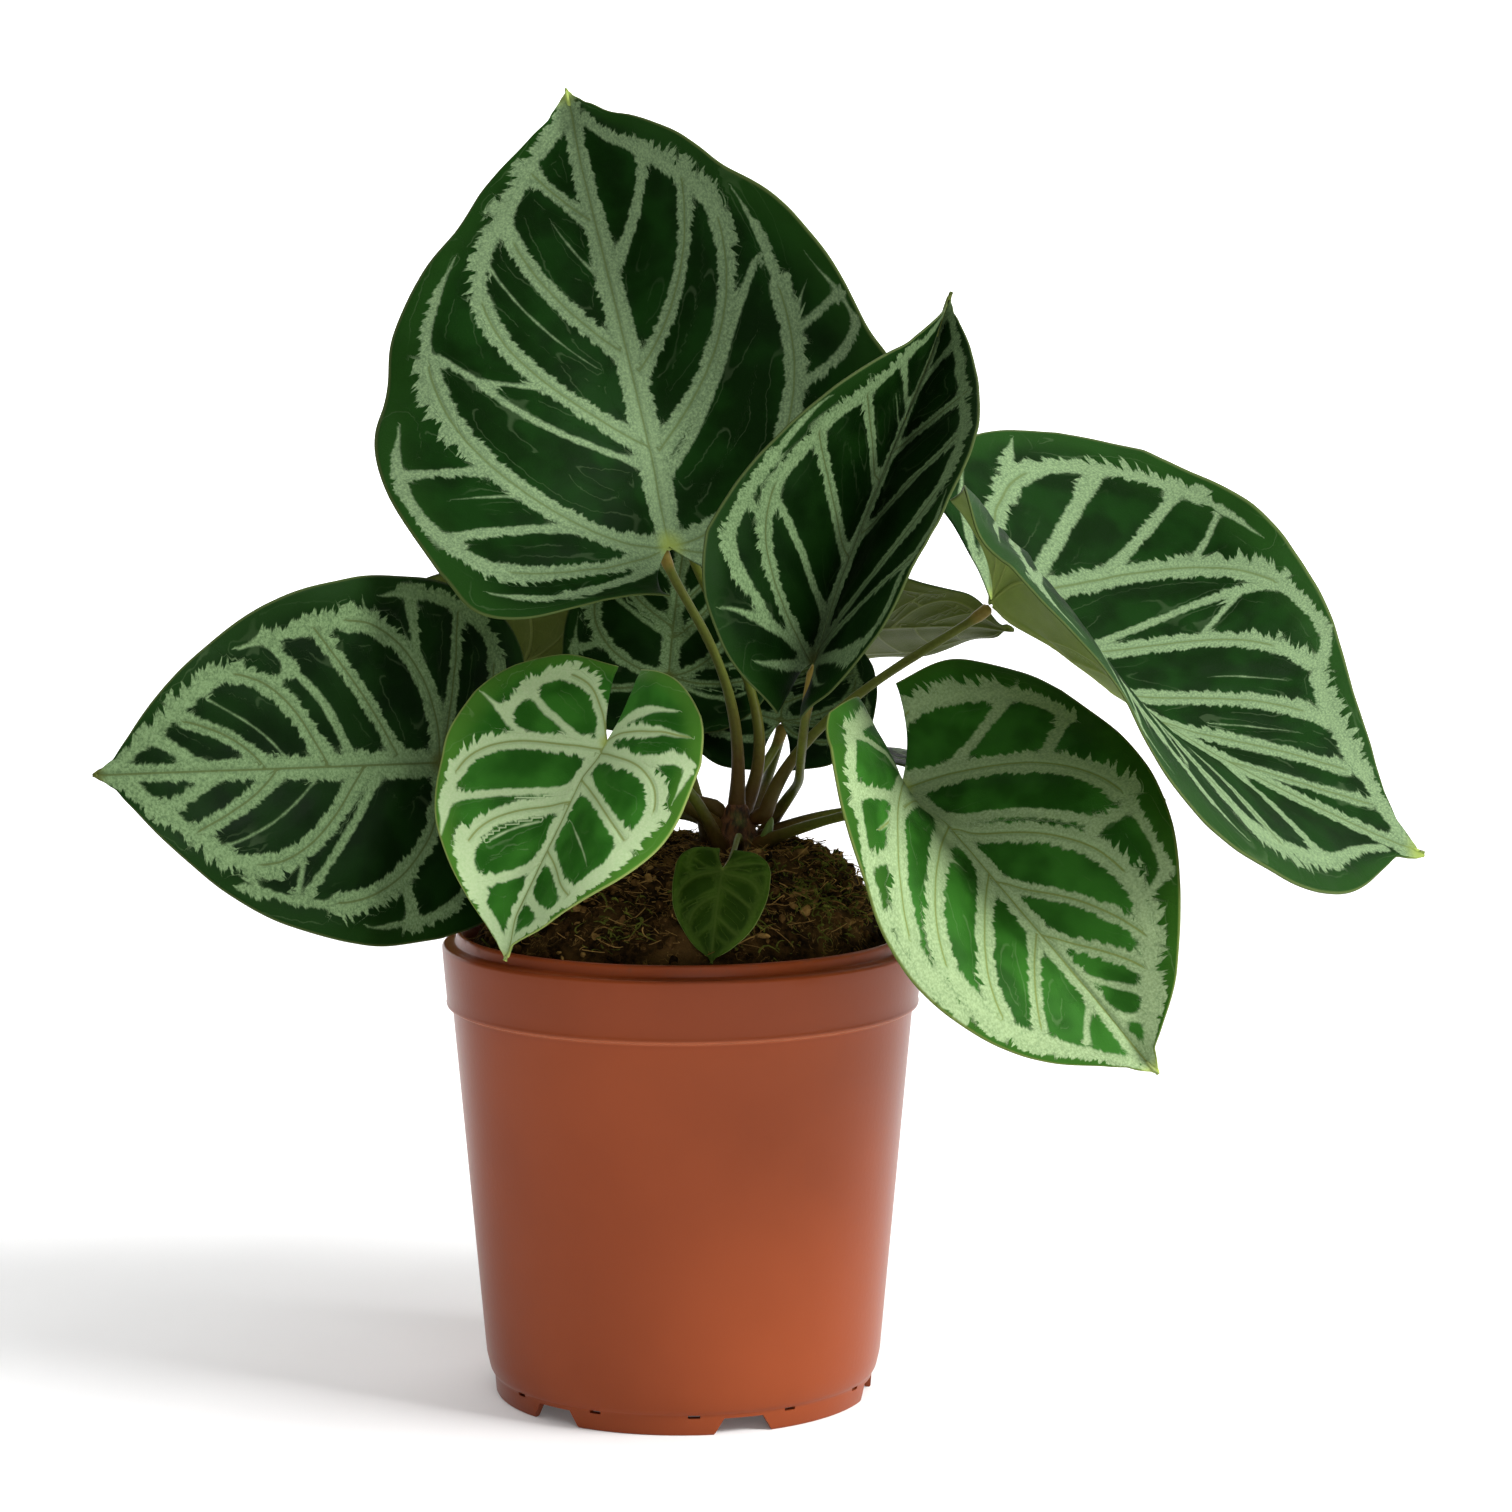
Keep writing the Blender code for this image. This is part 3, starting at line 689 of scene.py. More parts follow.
LEAVES = (
    LeafShape("tall", (-3.2, -2, 212.5), (219, 70, -2), (121, 27, 70, 68.5), fold=(14, 16),
              curl=(-50, 44), arch=5, lobe_arch=-60, twist=46, sway=3, lift=(0, 38), opening=(-8, 30),
              sinus=(0.25, 0.25), wave=1.5, leave=(93, 85), arrive=85, pull=(0.55, 0.2), cell=1.2,
              scallop=0.04),
    LeafShape("centre", (32, -48, 188.4), (153, 50, -31), (103.1, 22, 50, 50), fold=(60, 83),
              curl=(-28, -11), arch=-20, lobe_arch=13, twist=-2, sway=2, lift=(0, -8),
              opening=(31, -21), cup=(12, 12), start=(127, 139), leave=(115, 54), arrive=42,
              pull=(0.39, 0.59), tone=LeafTone.SHADED_DARK, cell=1.15),
    LeafShape("left", (-59, -18, 160.8), (-47, 3, 79), (92.5, 31, 44, 46), fold=(7, 10), curl=(-22, -9),
              arch=21, lobe_arch=9, twist=-2, sway=2, lift=(-6, -7), opening=(8, 7), start=(-75, 144),
              leave=(-80, 40), arrive=30, tone=LeafTone.SHADED_DARK, cell=1.1),
    LeafShape("front_left", (-17.4, -43.5, 169), (-56, -61, 1), (58, 19, 38, 38), fold=(22, 22),
              curl=(-60, 20), arch=-5, lobe_arch=0, twist=14, sway=-4, lift=(3, -2), opening=(20, 8),
              wave=0.7, start=(-35, 139), leave=(-40, 60), arrive=15, tone=LeafTone.LIT_FRESH, cell=0.9),
    LeafShape("right", (76.5, -4, 199), (49, -36, -65), (118, 31, 78, 78), fold=(-52, 128),
              curl=(28, -27), arch=57, lobe_arch=12, twist=-22, sway=-29, lift=(-24, -38),
              opening=(-25, -39), cup=(52, 52), sinus=(0.2, 0.3), wave=1.2, start=(78, 146),
              leave=(74, 73), arrive=5, pull=(0.38, 0.17), cell=1.25),
    LeafShape("front_right", (53, -34, 156), (39, -31, -38), (95.5, 23, 50.5, 54), fold=(1, 96),
              curl=(-20, -33), arch=33, lobe_arch=5, twist=-33, sway=-7, lift=(0, -24),
              opening=(7, -47), cup=(34, 34), sinus=(0.3, -0.25), start=(60, 138.6), leave=(60, 25),
              arrive=30, tone=LeafTone.SHADED_FRESH, cell=1.0),
    LeafShape("young", (10.4, -46, 139), (-25, -68, 8), (23, 5, 12, 12), fold=(3, 6), curl=(-14, -12),
              arch=16, lobe_arch=15, wave=0.2, start=(5, 139), arrive=30, tone=LeafTone.SHADED_YOUNG, cell=0.7),
    LeafShape("inner", (-4, 30, 177), (172, 55, 0), (56, 17, 28, 28), fold=(10, 10), wave=0.8,
              start=(-117, 139), leave=(-150, 62), tone=LeafTone.SHADED_DARK),
    LeafShape("side", (36, 66, 184), (92, 6, 30), (50, 16, 27, 27), curl=(-8, -8), arch=10, wave=0.8,
              start=(150, 143), leave=(165, 22), tone=LeafTone.SHADED_DARK),
    LeafShape("low", (24.5, 25.5, 166), (171, 49, 2), (37, 15, 24.5, 24.5), fold=(8, 9), wave=0.5,
              start=(181, 140), leave=(170, 60), tone=LeafTone.SHADED_DARK),
    LeafShape("turned", (-43, 60, 177), (-97, -5, -50), (64, 20, 32, 32), arch=20, sinus=(0.02, 0.02),
              tone=LeafTone.SHADED_DARK, wave=0.9, start=(-100, 147), leave=(-110, 12), arrive=40),
    LeafShape("rear_high", (-3, 45, 230), (178, 25, 0), (84, 26, 42, 42), arch=35, start=(160, 147),
              tone=LeafTone.SHADED_DARK, leave=(98, 66), arrive=29, pull=(0.36, 0.34)),
    LeafShape("rear_right", (78, 40, 150), (142, -8, 0), (70, 22, 36, 36), arch=30, start=(94, 139.6),
              tone=LeafTone.SHADED_DARK, leave=(110, 25), arrive=35),
    LeafShape("rear_low", (-38, 45, 142), (-150, -10, 0), (70, 22, 36, 36), arch=30, start=(-148, 139),
              tone=LeafTone.SHADED_DARK, leave=(-150, 30), arrive=35),
)


@dataclass(frozen=True)
class VeinPlan:
    """Veins of half a blade of a given length and half width, in mm and degrees from the midrib.

    Each vein is its first point across and ahead, the way it leaves, its last point across and
    ahead, the way it arrives, and its half width.
    """

    length: float
    width: float
    midrib: float
    veins: tuple[tuple[float, ...], ...]


TALL_LEFT = VeinPlan(121, 70, 4.5, (
    (0, 0, 98, 50, 56, -2, 2.5), (50, 56, -2, 37, 84, -40, 1.1), (0, 20, 72, 38, 47, 28, 0.9),
    (38, 47, 40, 47, 58, 40, 0.8), (24, 44, 80, 38, 48, 70, 0.6), (0, 25, 58, 33, 70, 2, 2.3),
    (33, 70, 2, 25, 90, -35, 1.7), (9, 47, 50, 29, 80, 15, 0.35), (0, 49, 48, 21.5, 84, 12, 2.0),
    (21.5, 84, 10, 22.5, 94, 2, 1.6), (0, 84, 45, 13, 101, 30, 1.5), (2, 70, 40, 11, 87, 20, 0.4),
    (26, 88, -40, 13.5, 103, -42, 1.6), (13.5, 103, -42, 2, 114, -35, 1.4),
    (0, 0, 112, 50, -4, 72, 1.8), (50, -4, 70, 66, 24, 0, 1.3), (66, 24, 0, 61, 42, -15, 0.9),
    (26, 5, 85, 63, 7.5, 92, 1.1), (45, 24, 80, 65, 28, 78, 1.0), (36, 15, 80, 56, 18, 85, 0.4),
    (0, 0, 128, 40, -15, 92, 1.3), (40, -15, 92, 58, -8, 60, 0.9)))
TALL_RIGHT = VeinPlan(121, 68.5, 4.4, (
    (0, 0, 88, 44, 52, 2, 2.4), (44, 52, 2, 43, 76, -15, 1.1), (0, 16, 60, 40, 60, 55, 0.9),
    (0, 22, 50, 34.5, 72, 10, 2.0), (34.5, 72, 5, 29, 86, -38, 1.9), (0, 43, 50, 29, 85, 22, 1.7),
    (0, 70, 45, 20, 95, 32, 1.4), (36, 76, -35, 20, 96, -45, 1.9), (20, 96, -50, 4, 111, -30, 1.1),
    (46, 43, 80, 61, 46, 88, 0.8), (43, 31, 80, 62, 39, 50, 1.0), (62, 39, 0, 56, 56, -25, 0.6),
    (43, 45, 75, 52, 51, 60, 0.5), (0, 0, 112, 50, -4, 72, 1.6), (50, -4, 70, 64, 24, 0, 1.2),
    (26, 4, 85, 62, 7.5, 92, 1.1), (0, 0, 130, 38, -15, 92, 1.2), (38, -15, 92, 57, -8, 60, 0.9)))
CENTRE_LEFT = VeinPlan(103, 50, 3.5, (
    (0, -1, 96, 41, 24, 12, 2.0), (41, 24, 5, 38, 45, -5, 1.5), (0, 11, 82, 40, 22, 78, 1.2),
    (0, 27, 78, 38, 43, 60, 1.9), (0, 49, 84, 30, 60, 68, 1.7), (0, 70, 78, 23, 76, 66, 1.2),
    (0, 64, 80, 16, 68, 85, 0.4), (38, 44, -10, 30, 62, -28, 1.4), (30, 62, -20, 20, 80, -40, 1.3),
    (20, 80, -45, 2, 98, -40, 1.0), (0, 0, 108, 38, -12, 115, 1.2), (24, -5, 80, 44, 4, 30, 1.5),
    (44, 4, 10, 46, 30, -5, 1.3), (46, 30, -5, 42, 52, -25, 0.9), (38, 14, 85, 46, 16, 95, 0.8),
    (0, 0, 140, 22, -16, 110, 1.3)))
CENTRE_RIGHT = VeinPlan(103, 50, 4.0, (
    (0, 3, 75, 40, 36, 15, 2.5), (40, 36, 8, 35, 58, -22, 1.6), (0, 1, 92, 46, 7, 65, 1.8),
    (46, 7, 30, 46, 34, -10, 1.0), (0, 33, 62, 33, 56, 42, 1.6), (0, 57, 62, 27, 72, 50, 1.5),
    (0, 75, 40, 10, 87, 30, 1.3), (35, 57, -25, 19, 80, -38, 1.3), (19, 80, -38, 2, 98, -42, 1.0),
    (0, 0, 120, 34, -13, 95, 1.4), (34, -13, 90, 47, 6, 10, 1.0), (0, 0, 145, 20, -17, 100, 0.9)))
LEFT_LEFT = VeinPlan(92.5, 44, 3.5, (
    (0, 0, 88, 33, 34, 0, 2.3), (33, 34, 0, 28, 60, -12, 0.8), (31, 45, 270, 23, 43, 265, 0.6),
    (0, 18, 60, 30, 42, 48, 1.0), (0, 23, 52, 23, 54, 0, 2.0), (23, 54, 0, 16, 69, -38, 1.8),
    (4, 38, 45, 18, 62, 15, 0.35), (0, 47, 52, 14.5, 69, 25, 1.8), (0, 62, 40, 8.5, 76, 15, 1.4),
    (16, 69, -35, 9, 77, -40, 1.5), (9, 77, -35, 1, 87, -30, 1.2), (29, 55, 300, 22, 58, 290, 0.6),
    (27, 14, 85, 38, 11, 100, 1.3), (0, 0, 130, 27, -8, 95, 1.6), (27, -8, 80, 39, 12, 5, 1.2),
    (39, 12, 0, 39, 26, -5, 0.6), (0, 0, 150, 17, -20, 110, 1.2)))
LEFT_RIGHT = VeinPlan(92.5, 46, 3.5, (
    (0, 0, 90, 35, 27, 0, 2.2), (35, 27, -2, 29, 56, -14, 1.4), (0, 12, 62, 33, 36, 50, 1.6),
    (0, 26, 72, 24, 43, 35, 1.0), (24, 43, 70, 31, 49, 55, 0.9), (0, 33, 62, 23, 57, 8, 2.0),
    (23, 57, 0, 15, 72, -45, 1.7), (19, 49, 160, 24, 43, 140, 0.8), (0, 50, 55, 12, 70, 12, 1.5),
    (0, 66, 45, 9, 79, 25, 1.4), (15, 72, -45, 8, 80, -40, 1.3), (8, 80, -40, 1, 88, -30, 1.2),
    (3, 45, 55, 17, 64, 30, 0.3), (0, 0, 105, 37, -8, 100, 1.5), (22, 6, 88, 42, 7, 92, 1.3),
    (30, 17, 60, 40, 22, 75, 0.6), (0, 0, 145, 24, -18, 95, 1.6), (24, -18, 90, 42, 4, 8, 1.5),
    (42, 4, 0, 41, 16, -10, 1.0)))
FRESH_LEFT = VeinPlan(58, 38, 2.9, (
    (0, 3, 82, 31, 14, 12, 2.0), (31, 14, 0, 28, 24, -20, 1.7), (0, 11, 72, 27, 23, 60, 1.6),
    (0, 30, 68, 20, 40, 72, 1.5), (28, 24, 0, 20, 40, -40, 1.6), (20, 40, -35, 2, 55, -45, 1.2),
    (0, 41, 60, 14, 47, 68, 1.2), (5, 22, 60, 20, 31, 50, 0.35), (0, 0, 105, 32, -5, 95, 1.5),
    (14, 5, 95, 35, 1, 85, 1.1), (35, 1, 0, 35, 10, -10, 0.7), (0, 0, 135, 26, -10, 95, 1.2)))
FRESH_RIGHT = VeinPlan(58, 38, 2.9, (
    (0, 2, 80, 32, 20, 5, 1.9), (32, 20, 0, 27, 37, -20, 1.2), (0, 13, 70, 30, 28, 50, 0.9),
    (0, 17, 70, 20.5, 35, 5, 1.9), (20.5, 35, 0, 13, 46, -45, 1.6), (0, 33, 55, 15, 44, 60, 1.2),
    (13, 46, -40, 2, 55, -40, 1.2), (0, 0, 150, 17, -13, 90, 1.6), (17, -13, 90, 28, 1, 10, 1.3),
    (6, 2, 105, 27, -6, 115, 0.9), (22, 5, 105, 36, -1, 100, 0.8), (7, 24, 60, 16, 33, 30, 0.3)))
RIGHT_LEFT = VeinPlan(118, 78, 3.4, (
    (0, 0, 74, 62, 50, 5, 2.6), (62, 50, 0, 54, 74, -30, 1.4), (0, 22, 80, 60, 49, 40, 1.1),
    (38, 43, 90, 52, 43, 90, 0.8), (0, 20, 58, 44, 62, 10, 2.3), (44, 62, 5, 44, 76, -5, 2.0),
    (0, 38, 50, 29, 80, 8, 2.2), (29, 80, 5, 29, 89, -10, 1.8), (0, 52, 40, 17, 96, 8, 2.0),
    (0, 70, 32, 9, 104, 8, 1.5), (26, 54, 40, 36, 72, 20, 0.3), (12, 62, 30, 22, 82, 15, 0.3),
    (55, 73, -40, 40, 80, -55, 1.3), (40, 80, -50, 18, 101, -45, 2.0), (18, 101, -45, 2, 114, -40, 1.4),
    (33, 12, 85, 70, 13, 92, 1.2), (50, 27, 85, 69, 25, 100, 0.7), (18, 2, 95, 62, -4, 98, 1.4),
    (0, 0, 118, 46, -14, 85, 2.2), (46, -14, 80, 72, 18, 5, 1.7), (72, 18, 0, 71, 38, -5, 0.8),
    (34, -12, 120, 54, -22, 115, 1.3), (0, 0, 140, 32, -24, 110, 1.2)))
RIPE_LEFT = VeinPlan(95.5, 50.5, 3.3, (
    (0, 0, 75, 39, 36, 0, 3.0), (39, 36, 0, 34, 60, -10, 0.9), (0, 15, 72, 29, 40, 30, 1.2),
    (29, 40, 60, 37, 42, 80, 1.3), (24, 42, 100, 30, 40, 110, 1.1), (0, 19, 58, 26, 54, 0, 2.5),
    (26, 54, 0, 20, 70, -35, 2.0), (0, 37, 50, 20, 69, 12, 1.5), (0, 54, 45, 14.5, 74, 22, 1.6),
    (0, 66, 42, 11, 79, 35, 0.8), (0, 78, 35, 7, 84, 30, 0.9), (20, 70, -38, 10, 82, -40, 1.7),
    (10, 82, -40, 1, 92, -30, 1.1), (0, -2, 150, 14, -15, 95, 2.0), (14, -15, 92, 37, -7, 55, 2.2),
    (37, -7, 50, 45, 8, 5, 1.3), (30, 16, 110, 45, 8, 105, 1.2), (8, 3, 95, 36, -5, 108, 1.2),
    (34, 60, 280, 26, 62, 270, 0.8)))
RIPE_RIGHT = VeinPlan(95.5, 54, 3.9, (
    (0, 2, 80, 42, 44, 5, 3.0), (42, 44, 0, 36, 62, -15, 1.8), (0, 18, 62, 34, 52, 5, 2.6),
    (34, 52, -10, 27, 68, -35, 2.1), (0, 34, 55, 26, 66, 5, 2.2), (0, 52, 50, 18, 72, 25, 1.6),
    (27, 68, -35, 19, 76, -50, 1.7), (19, 76, -50, 3, 90, -45, 1.2), (0, 72, 50, 9, 80, 30, 0.8),
    (0, 0, 150, 16, -15, 95, 2.1), (16, -15, 92, 40, -6, 55, 2.0), (40, -6, 50, 48, 12, 5, 1.6),
    (48, 12, 0, 50, 34, -4, 1.1), (50, 34, -5, 42, 56, -30, 1.0), (30, 14, 100, 48, 12, 100, 1.5),
    (36, 28, 85, 50, 28, 95, 1.1), (40, 40, 80, 49, 40, 90, 1.1), (8, 3, 95, 38, -5, 108, 1.5),
    (0, 10, 85, 42, 22, 80, 1.6), (38, 54, 80, 45, 50, 100, 0.9), (10, 32, 150, 20, 30, 100, 0.7)))
PLANS = {
    "tall": (TALL_LEFT, TALL_RIGHT), "centre": (CENTRE_LEFT, CENTRE_RIGHT),
    "left": (LEFT_LEFT, LEFT_RIGHT), "front_left": (FRESH_LEFT, FRESH_RIGHT),
    "right": (RIGHT_LEFT, TALL_RIGHT), "front_right": (RIPE_LEFT, RIPE_RIGHT),
    "young": (FRESH_LEFT, FRESH_RIGHT), "inner": (LEFT_LEFT, TALL_RIGHT),
    "side": (CENTRE_LEFT, LEFT_RIGHT), "low": (RIPE_LEFT, LEFT_RIGHT),
    "turned": (LEFT_LEFT, RIPE_RIGHT), "rear_high": (RIPE_LEFT, TALL_RIGHT),
    "rear_right": (TALL_LEFT, RIPE_RIGHT), "rear_low": (CENTRE_LEFT, LEFT_RIGHT),
}


@dataclass
class Vein:
    """A vein on the flat blade: its line and the half width along it, in mm."""

    line: Array
    half: Array
    core: float


@dataclass
class VeinField:
    """What the shader needs at each point of half a blade."""

    signed: Array
    apart: Array
    half: Array
    along: Array
    core: Array


@dataclass
class VeinNetwork:
    """The veins of half a blade; sizes in mm at the plan's size."""

    shape: LeafShape
    side: Side
    veins: list[Vein] = field(default_factory=list)
    # Radius of the web at a fork, sideways wobble, and how far from others a vein's end counts as free.
    web: float = 0.7
    wobble: float = 0.35
    free_end: float = 5.0

    def __post_init__(self) -> None:
        """Fits the plan to the leaf and lays out every vein."""
        plan = PLANS[self.shape.name][self.side.index]
        self.grow = self.shape.length / plan.length
        across = self.shape.size[2 + self.side.index] / plan.width
        self.thick = self.grow ** 0.8
        share = np.linspace(0, 0.985, 40)
        half = plan.midrib * self.thick * (0.7 + 0.3 * ease(share, 0, 0.1)) * (1 - 0.55 * share ** 1.1)
        self.veins.append(Vein(np.stack([0 * share, share * self.shape.length], axis=-1), half, 1.0))
        for x0, y0, leave, x1, y1, arrive, half in plan.veins:
            start = np.array([x0 * across, y0 * self.grow])
            end = np.array([x1 * across, y1 * self.grow])
            self.veins.append(self._arc(start, leave, end, arrive, half))
        for vein in self.veins[1:]:
            others = np.concatenate([other.line for other in self.veins if other is not vein])
            share = np.linspace(0, 1, len(vein.half))
            for end, run in ((vein.line[-1], share), (vein.line[0], 1 - share)):
                if np.linalg.norm(others - end, axis=1).min() > self.free_end * self.grow:
                    vein.half *= 1 - 0.7 * ease(run, 0.5, 1.0)

    def _arc(self, start: Array, leave: float, end: Array, arrive: float, half: float) -> Vein:
        """A vein that bends evenly from one point to another.

        Args:
            start: first point.
            leave: the way it leaves, in degrees from the midrib.
            end: last point.
            arrive: the way it arrives.
            half: half width in mm.

        Returns:
            The vein.
        """
        first, last = math.radians(leave), math.radians(arrive)
        bend = abs(math.remainder(first - last, 2 * math.pi))
        reach = float(np.linalg.norm(end - start))
        handle = reach * (0.667 * math.tan(bend / 4) / math.sin(bend / 2) if bend > 0.05 else 0.334)
        t = np.linspace(0, 1, max(int(reach / 1.5), 6))[:, None]
        line = bezier(t, start, start + handle * np.array([math.sin(first), math.cos(first)]),
                      end - handle * np.array([math.sin(last), math.cos(last)]), end)
        wobble = lumpy(np.column_stack([line, np.full(len(line), 9.0 * half)]), 6.0) * self.wobble
        line = line + (wobble * ease(t[:, 0], 0, 0.15) * ease(t[:, 0], 1, 0.85))[:, None]
        width = half * self.thick * (1 + 0.35 * ease(t[:, 0], 0.3, 0.0) * (start[0] < 1))
        return Vein(line, width, float(half > 1.4) * float(start[0] < 1))

    def measure(self, points: Array) -> VeinField:
        """Reads the network at points.

        Args:
            points: distance from the midrib and distance ahead of the stalk, in mm.

        Returns:
            Signed and plain distance to the nearest vein's middle, its half width with the webs at
            the forks, and place along it.
        """
        count = len(points)
        rows = np.arange(count)
        best, total = np.full(count, -1e9), np.zeros(count)
        state = np.zeros((count, 4))
        web = self.web * self.thick
        for number, vein in enumerate(self.veins):
            step = np.diff(vein.line, axis=0)
            size = np.maximum((step ** 2).sum(1), 1e-9)
            offset = points[:, None, :] - vein.line[None, :-1]
            t = np.clip((offset * step[None]).sum(2) / size[None], 0, 1)
            distances = np.sqrt(((offset - t[..., None] * step[None]) ** 2).sum(2))
            nearest = distances.argmin(1)
            distance, share = distances[rows, nearest], t[rows, nearest]
            half = vein.half[nearest] * (1 - share) + vein.half[nearest + 1] * share
            run = np.concatenate([[0], np.cumsum(np.sqrt(size))])
            cross = step[nearest, 0] * offset[rows, nearest, 1] - step[nearest, 1] * offset[rows, nearest, 0]
            inside = half - distance
            total += np.exp(np.clip(inside / web, -60, 60))
            better = inside > best
            best = np.where(better, inside, best)
            along = run[nearest] + share * np.sqrt(size[nearest]) + 37.0 * number
            here = (np.where(cross >= 0, distance, -distance), distance, along, np.full(count, vein.core))
            state[better] = np.stack(here, axis=-1)[better]
        signed, apart, along, core = state.T
        union = np.where(best > -40, web * np.log(np.maximum(total, 1e-30)), best)
        return VeinField(signed, apart, union + apart, along, core)


@dataclass(frozen=True)
class LeafFinish:
    """Colours of a leaf's upper and lower faces."""

    dark: Colour
    deep: Colour
    silver: Colour
    pale: Colour
    line: Colour
    margin: Colour
    edge: Colour
    tip: Colour
    under: Colour
    under_vein: Colour
    silver_share: float = 1.0
    roughness: float = 0.56
    ior: float = 1.16

    def upper(self, name: str) -> Material:
        """The velvety upper face, with silver bands along the veins.

        Args:
            name: the material's name.

        Returns:
            The material.
        """
        looks = Looks(name)
        signed, apart, half = looks.attribute("veins").parts()
        along, feather, core = looks.attribute("paths").parts()
        tip, edge, base = looks.attribute("zones").parts()
        place = looks.attribute("place")
        close = abs(signed)
        distance = close + (apart - close) * apart.step(1.3, 2.4)
        rim = half - distance
        lean = along + distance * 0.4
        teeth = looks.noise(looks.vector(lean * 0.3, distance * 0.04, 1.0), 1.0, 1.0, 0.5)
        needles = looks.noise(looks.vector(lean * 0.8, distance * 0.05, 5.0), 1.0, 2.0, 0.6)
        patch = looks.noise(looks.vector(along * 0.07, half * 0.1, 3.0), 1.0, 1.0)
        soft = looks.noise(place, 0.3, 3.0)
        pointed = (1.0 - abs(teeth - 0.5) * 8.0).most(0.0) + (1.0 - abs(needles - 0.5) * 8.0).most(0.0) * 0.5
        fringe = (pointed * 1.7 - 0.4) * feather * (patch * 2.0 - 0.1) * half.step(0.2, 2.2)
        reach = rim + fringe + (soft - 0.5) * 0.7 - 0.2
        band = reach.step(-0.45, 0.35)
        haze = reach.step(-1.6, 0.3)
        flecks = looks.noise(place, 1.7, 3.0, 0.65)
        broad = looks.noise(place, 0.09, 2.0)
        cells = looks.mix(broad.step(0.35, 0.68), self.deep, self.dark)
        cells = looks.mix(edge.step(0.78, 0.97) * 0.75, cells, self.margin)
        trace = looks.noise(looks.vector(lean * 0.04, distance * 0.17 + soft * 0.4, 9.0), 1.0, 0.0)
        fine = abs(trace - 0.5).step(0.02, 0.004) * looks.noise(place, 0.03, 0.0).step(0.4, 0.6)
        cells = looks.mix(fine * 0.09, cells, self.pale)
        cells = looks.mix(haze * 0.015, cells, self.silver)
        silver = looks.mix(flecks.step(0.3, 0.72), self.silver, self.pale)
        silver = looks.mix(rim.step(0.2, 2.6) * 0.35, silver, self.pale)
        middle = close.step(0.36, 0.14) * core * apart.step(1.5, 0.7)
        groove = close.step(1.1, 0.25) * core * apart.step(2.0, 1.0)
        silver = looks.mix(groove * 0.22, silver, self.dark)
        silver = looks.mix(middle * 0.75, silver, self.line)
        colour = looks.mix(band * self.silver_share, cells, silver)
        colour = looks.mix(edge.step(0.984, 0.997), colour, self.edge)
        colour = looks.mix(tip, colour, self.tip)
        colour = looks.mix(base * 0.8, colour, self.tip)
        relief = band * -0.45 + flecks * 0.35 + groove * -0.5 + fine * -0.2 + teeth * 0.1
        gloss = broad * 0.16 + flecks * 0.10 + band * 0.05 + (self.roughness - 0.14)
        return looks.surface(colour, relief, depth=0.00035, strength=0.7, rough=gloss, level=0.24,
                             ior=self.ior)

    def lower(self, name: str) -> Material:
        """The plain olive underside, with raised veins.

        Args:
            name: the material's name.

        Returns:
            The material.
        """
        looks = Looks(name)
        signed, apart, half = looks.attribute("veins").parts()
        place, edge = looks.attribute("place"), looks.attribute("zones").parts()[1]
        close = abs(signed)
        distance = close + (apart - close) * apart.step(1.3, 2.4)
        rib = (distance - half * 0.28).step(0.25, -0.2)
        shade = (distance - half * 0.28).step(1.6, 0.0)
        soft, flecks = looks.noise(place, 0.12, 3.0), looks.noise(place, 2.2, 3.0, 0.6)
        colour = looks.mix(soft.step(0.3, 0.72) * 0.14, self.under, self.margin)
        net = looks.node("ShaderNodeTexVoronoi", {"feature": "DISTANCE_TO_EDGE"},
                         {"Vector": place, "Scale": 0.2}, out="Distance")
        colour = looks.mix(net.step(0.03, 0.0) * 0.18, colour, self.under_vein)
        colour = looks.mix(rib * 0.7, colour, self.under_vein)
        colour = looks.mix(edge.step(0.98, 0.997) * 0.6, colour, self.edge)
        relief = rib * 0.6 + shade * 0.4 + flecks * 0.25
        return looks.surface(colour, relief, depth=0.0005, strength=0.8, rough=0.5, ior=self.ior)


FINISHES = {
    LeafTone.DARK: LeafFinish(
        dark=(11, 41, 5), deep=(5, 27, 1), silver=(78, 98, 69),
        pale=(116, 138, 99), line=(80, 95, 54), margin=(24, 56, 13),
        edge=(70, 84, 44), tip=(124, 140, 66), under=(130, 150, 74),
        under_vein=(146, 162, 84)),
    # Painted shade: the dark leaf's greens, made darker.
    LeafTone.SHADED_DARK: LeafFinish(
        dark=(7, 29, 3), deep=(3, 19, 1), silver=(64, 83, 53),
        pale=(100, 122, 84), line=(60, 70, 34), margin=(15, 40, 7),
        edge=(58, 70, 36), tip=(66, 72, 32), under=(78, 88, 38),
        under_vein=(98, 108, 54)),
    # Painted shade: the fresh leaf's greens, made dimmer.
    LeafTone.SHADED_FRESH: LeafFinish(
        dark=(40, 88, 25), deep=(25, 64, 13), silver=(106, 127, 88),
        pale=(140, 160, 117), line=(100, 110, 50), margin=(40, 76, 18),
        edge=(90, 104, 50), tip=(140, 154, 72), under=(98, 118, 62),
        under_vein=(142, 154, 96)),
    # Painted light: a lighter green, brightened.
    LeafTone.LIT_FRESH: LeafFinish(
        dark=(48, 104, 31), deep=(31, 79, 18), silver=(162, 188, 138),
        pale=(178, 197, 152), line=(122, 132, 64), margin=(68, 112, 36),
        edge=(122, 138, 74), tip=(160, 176, 90), under=(98, 118, 62),
        under_vein=(142, 154, 96)),
    # The young leaf's greens, darkened as painted shade.
    LeafTone.SHADED_YOUNG: LeafFinish(
        dark=(36, 58, 7), deep=(24, 43, 3), silver=(60, 80, 24),
        pale=(74, 94, 36), line=(82, 98, 42), margin=(48, 72, 16),
        edge=(94, 110, 54), tip=(78, 92, 36), under=(80, 98, 42),
        under_vein=(104, 118, 60), silver_share=0.3),
}


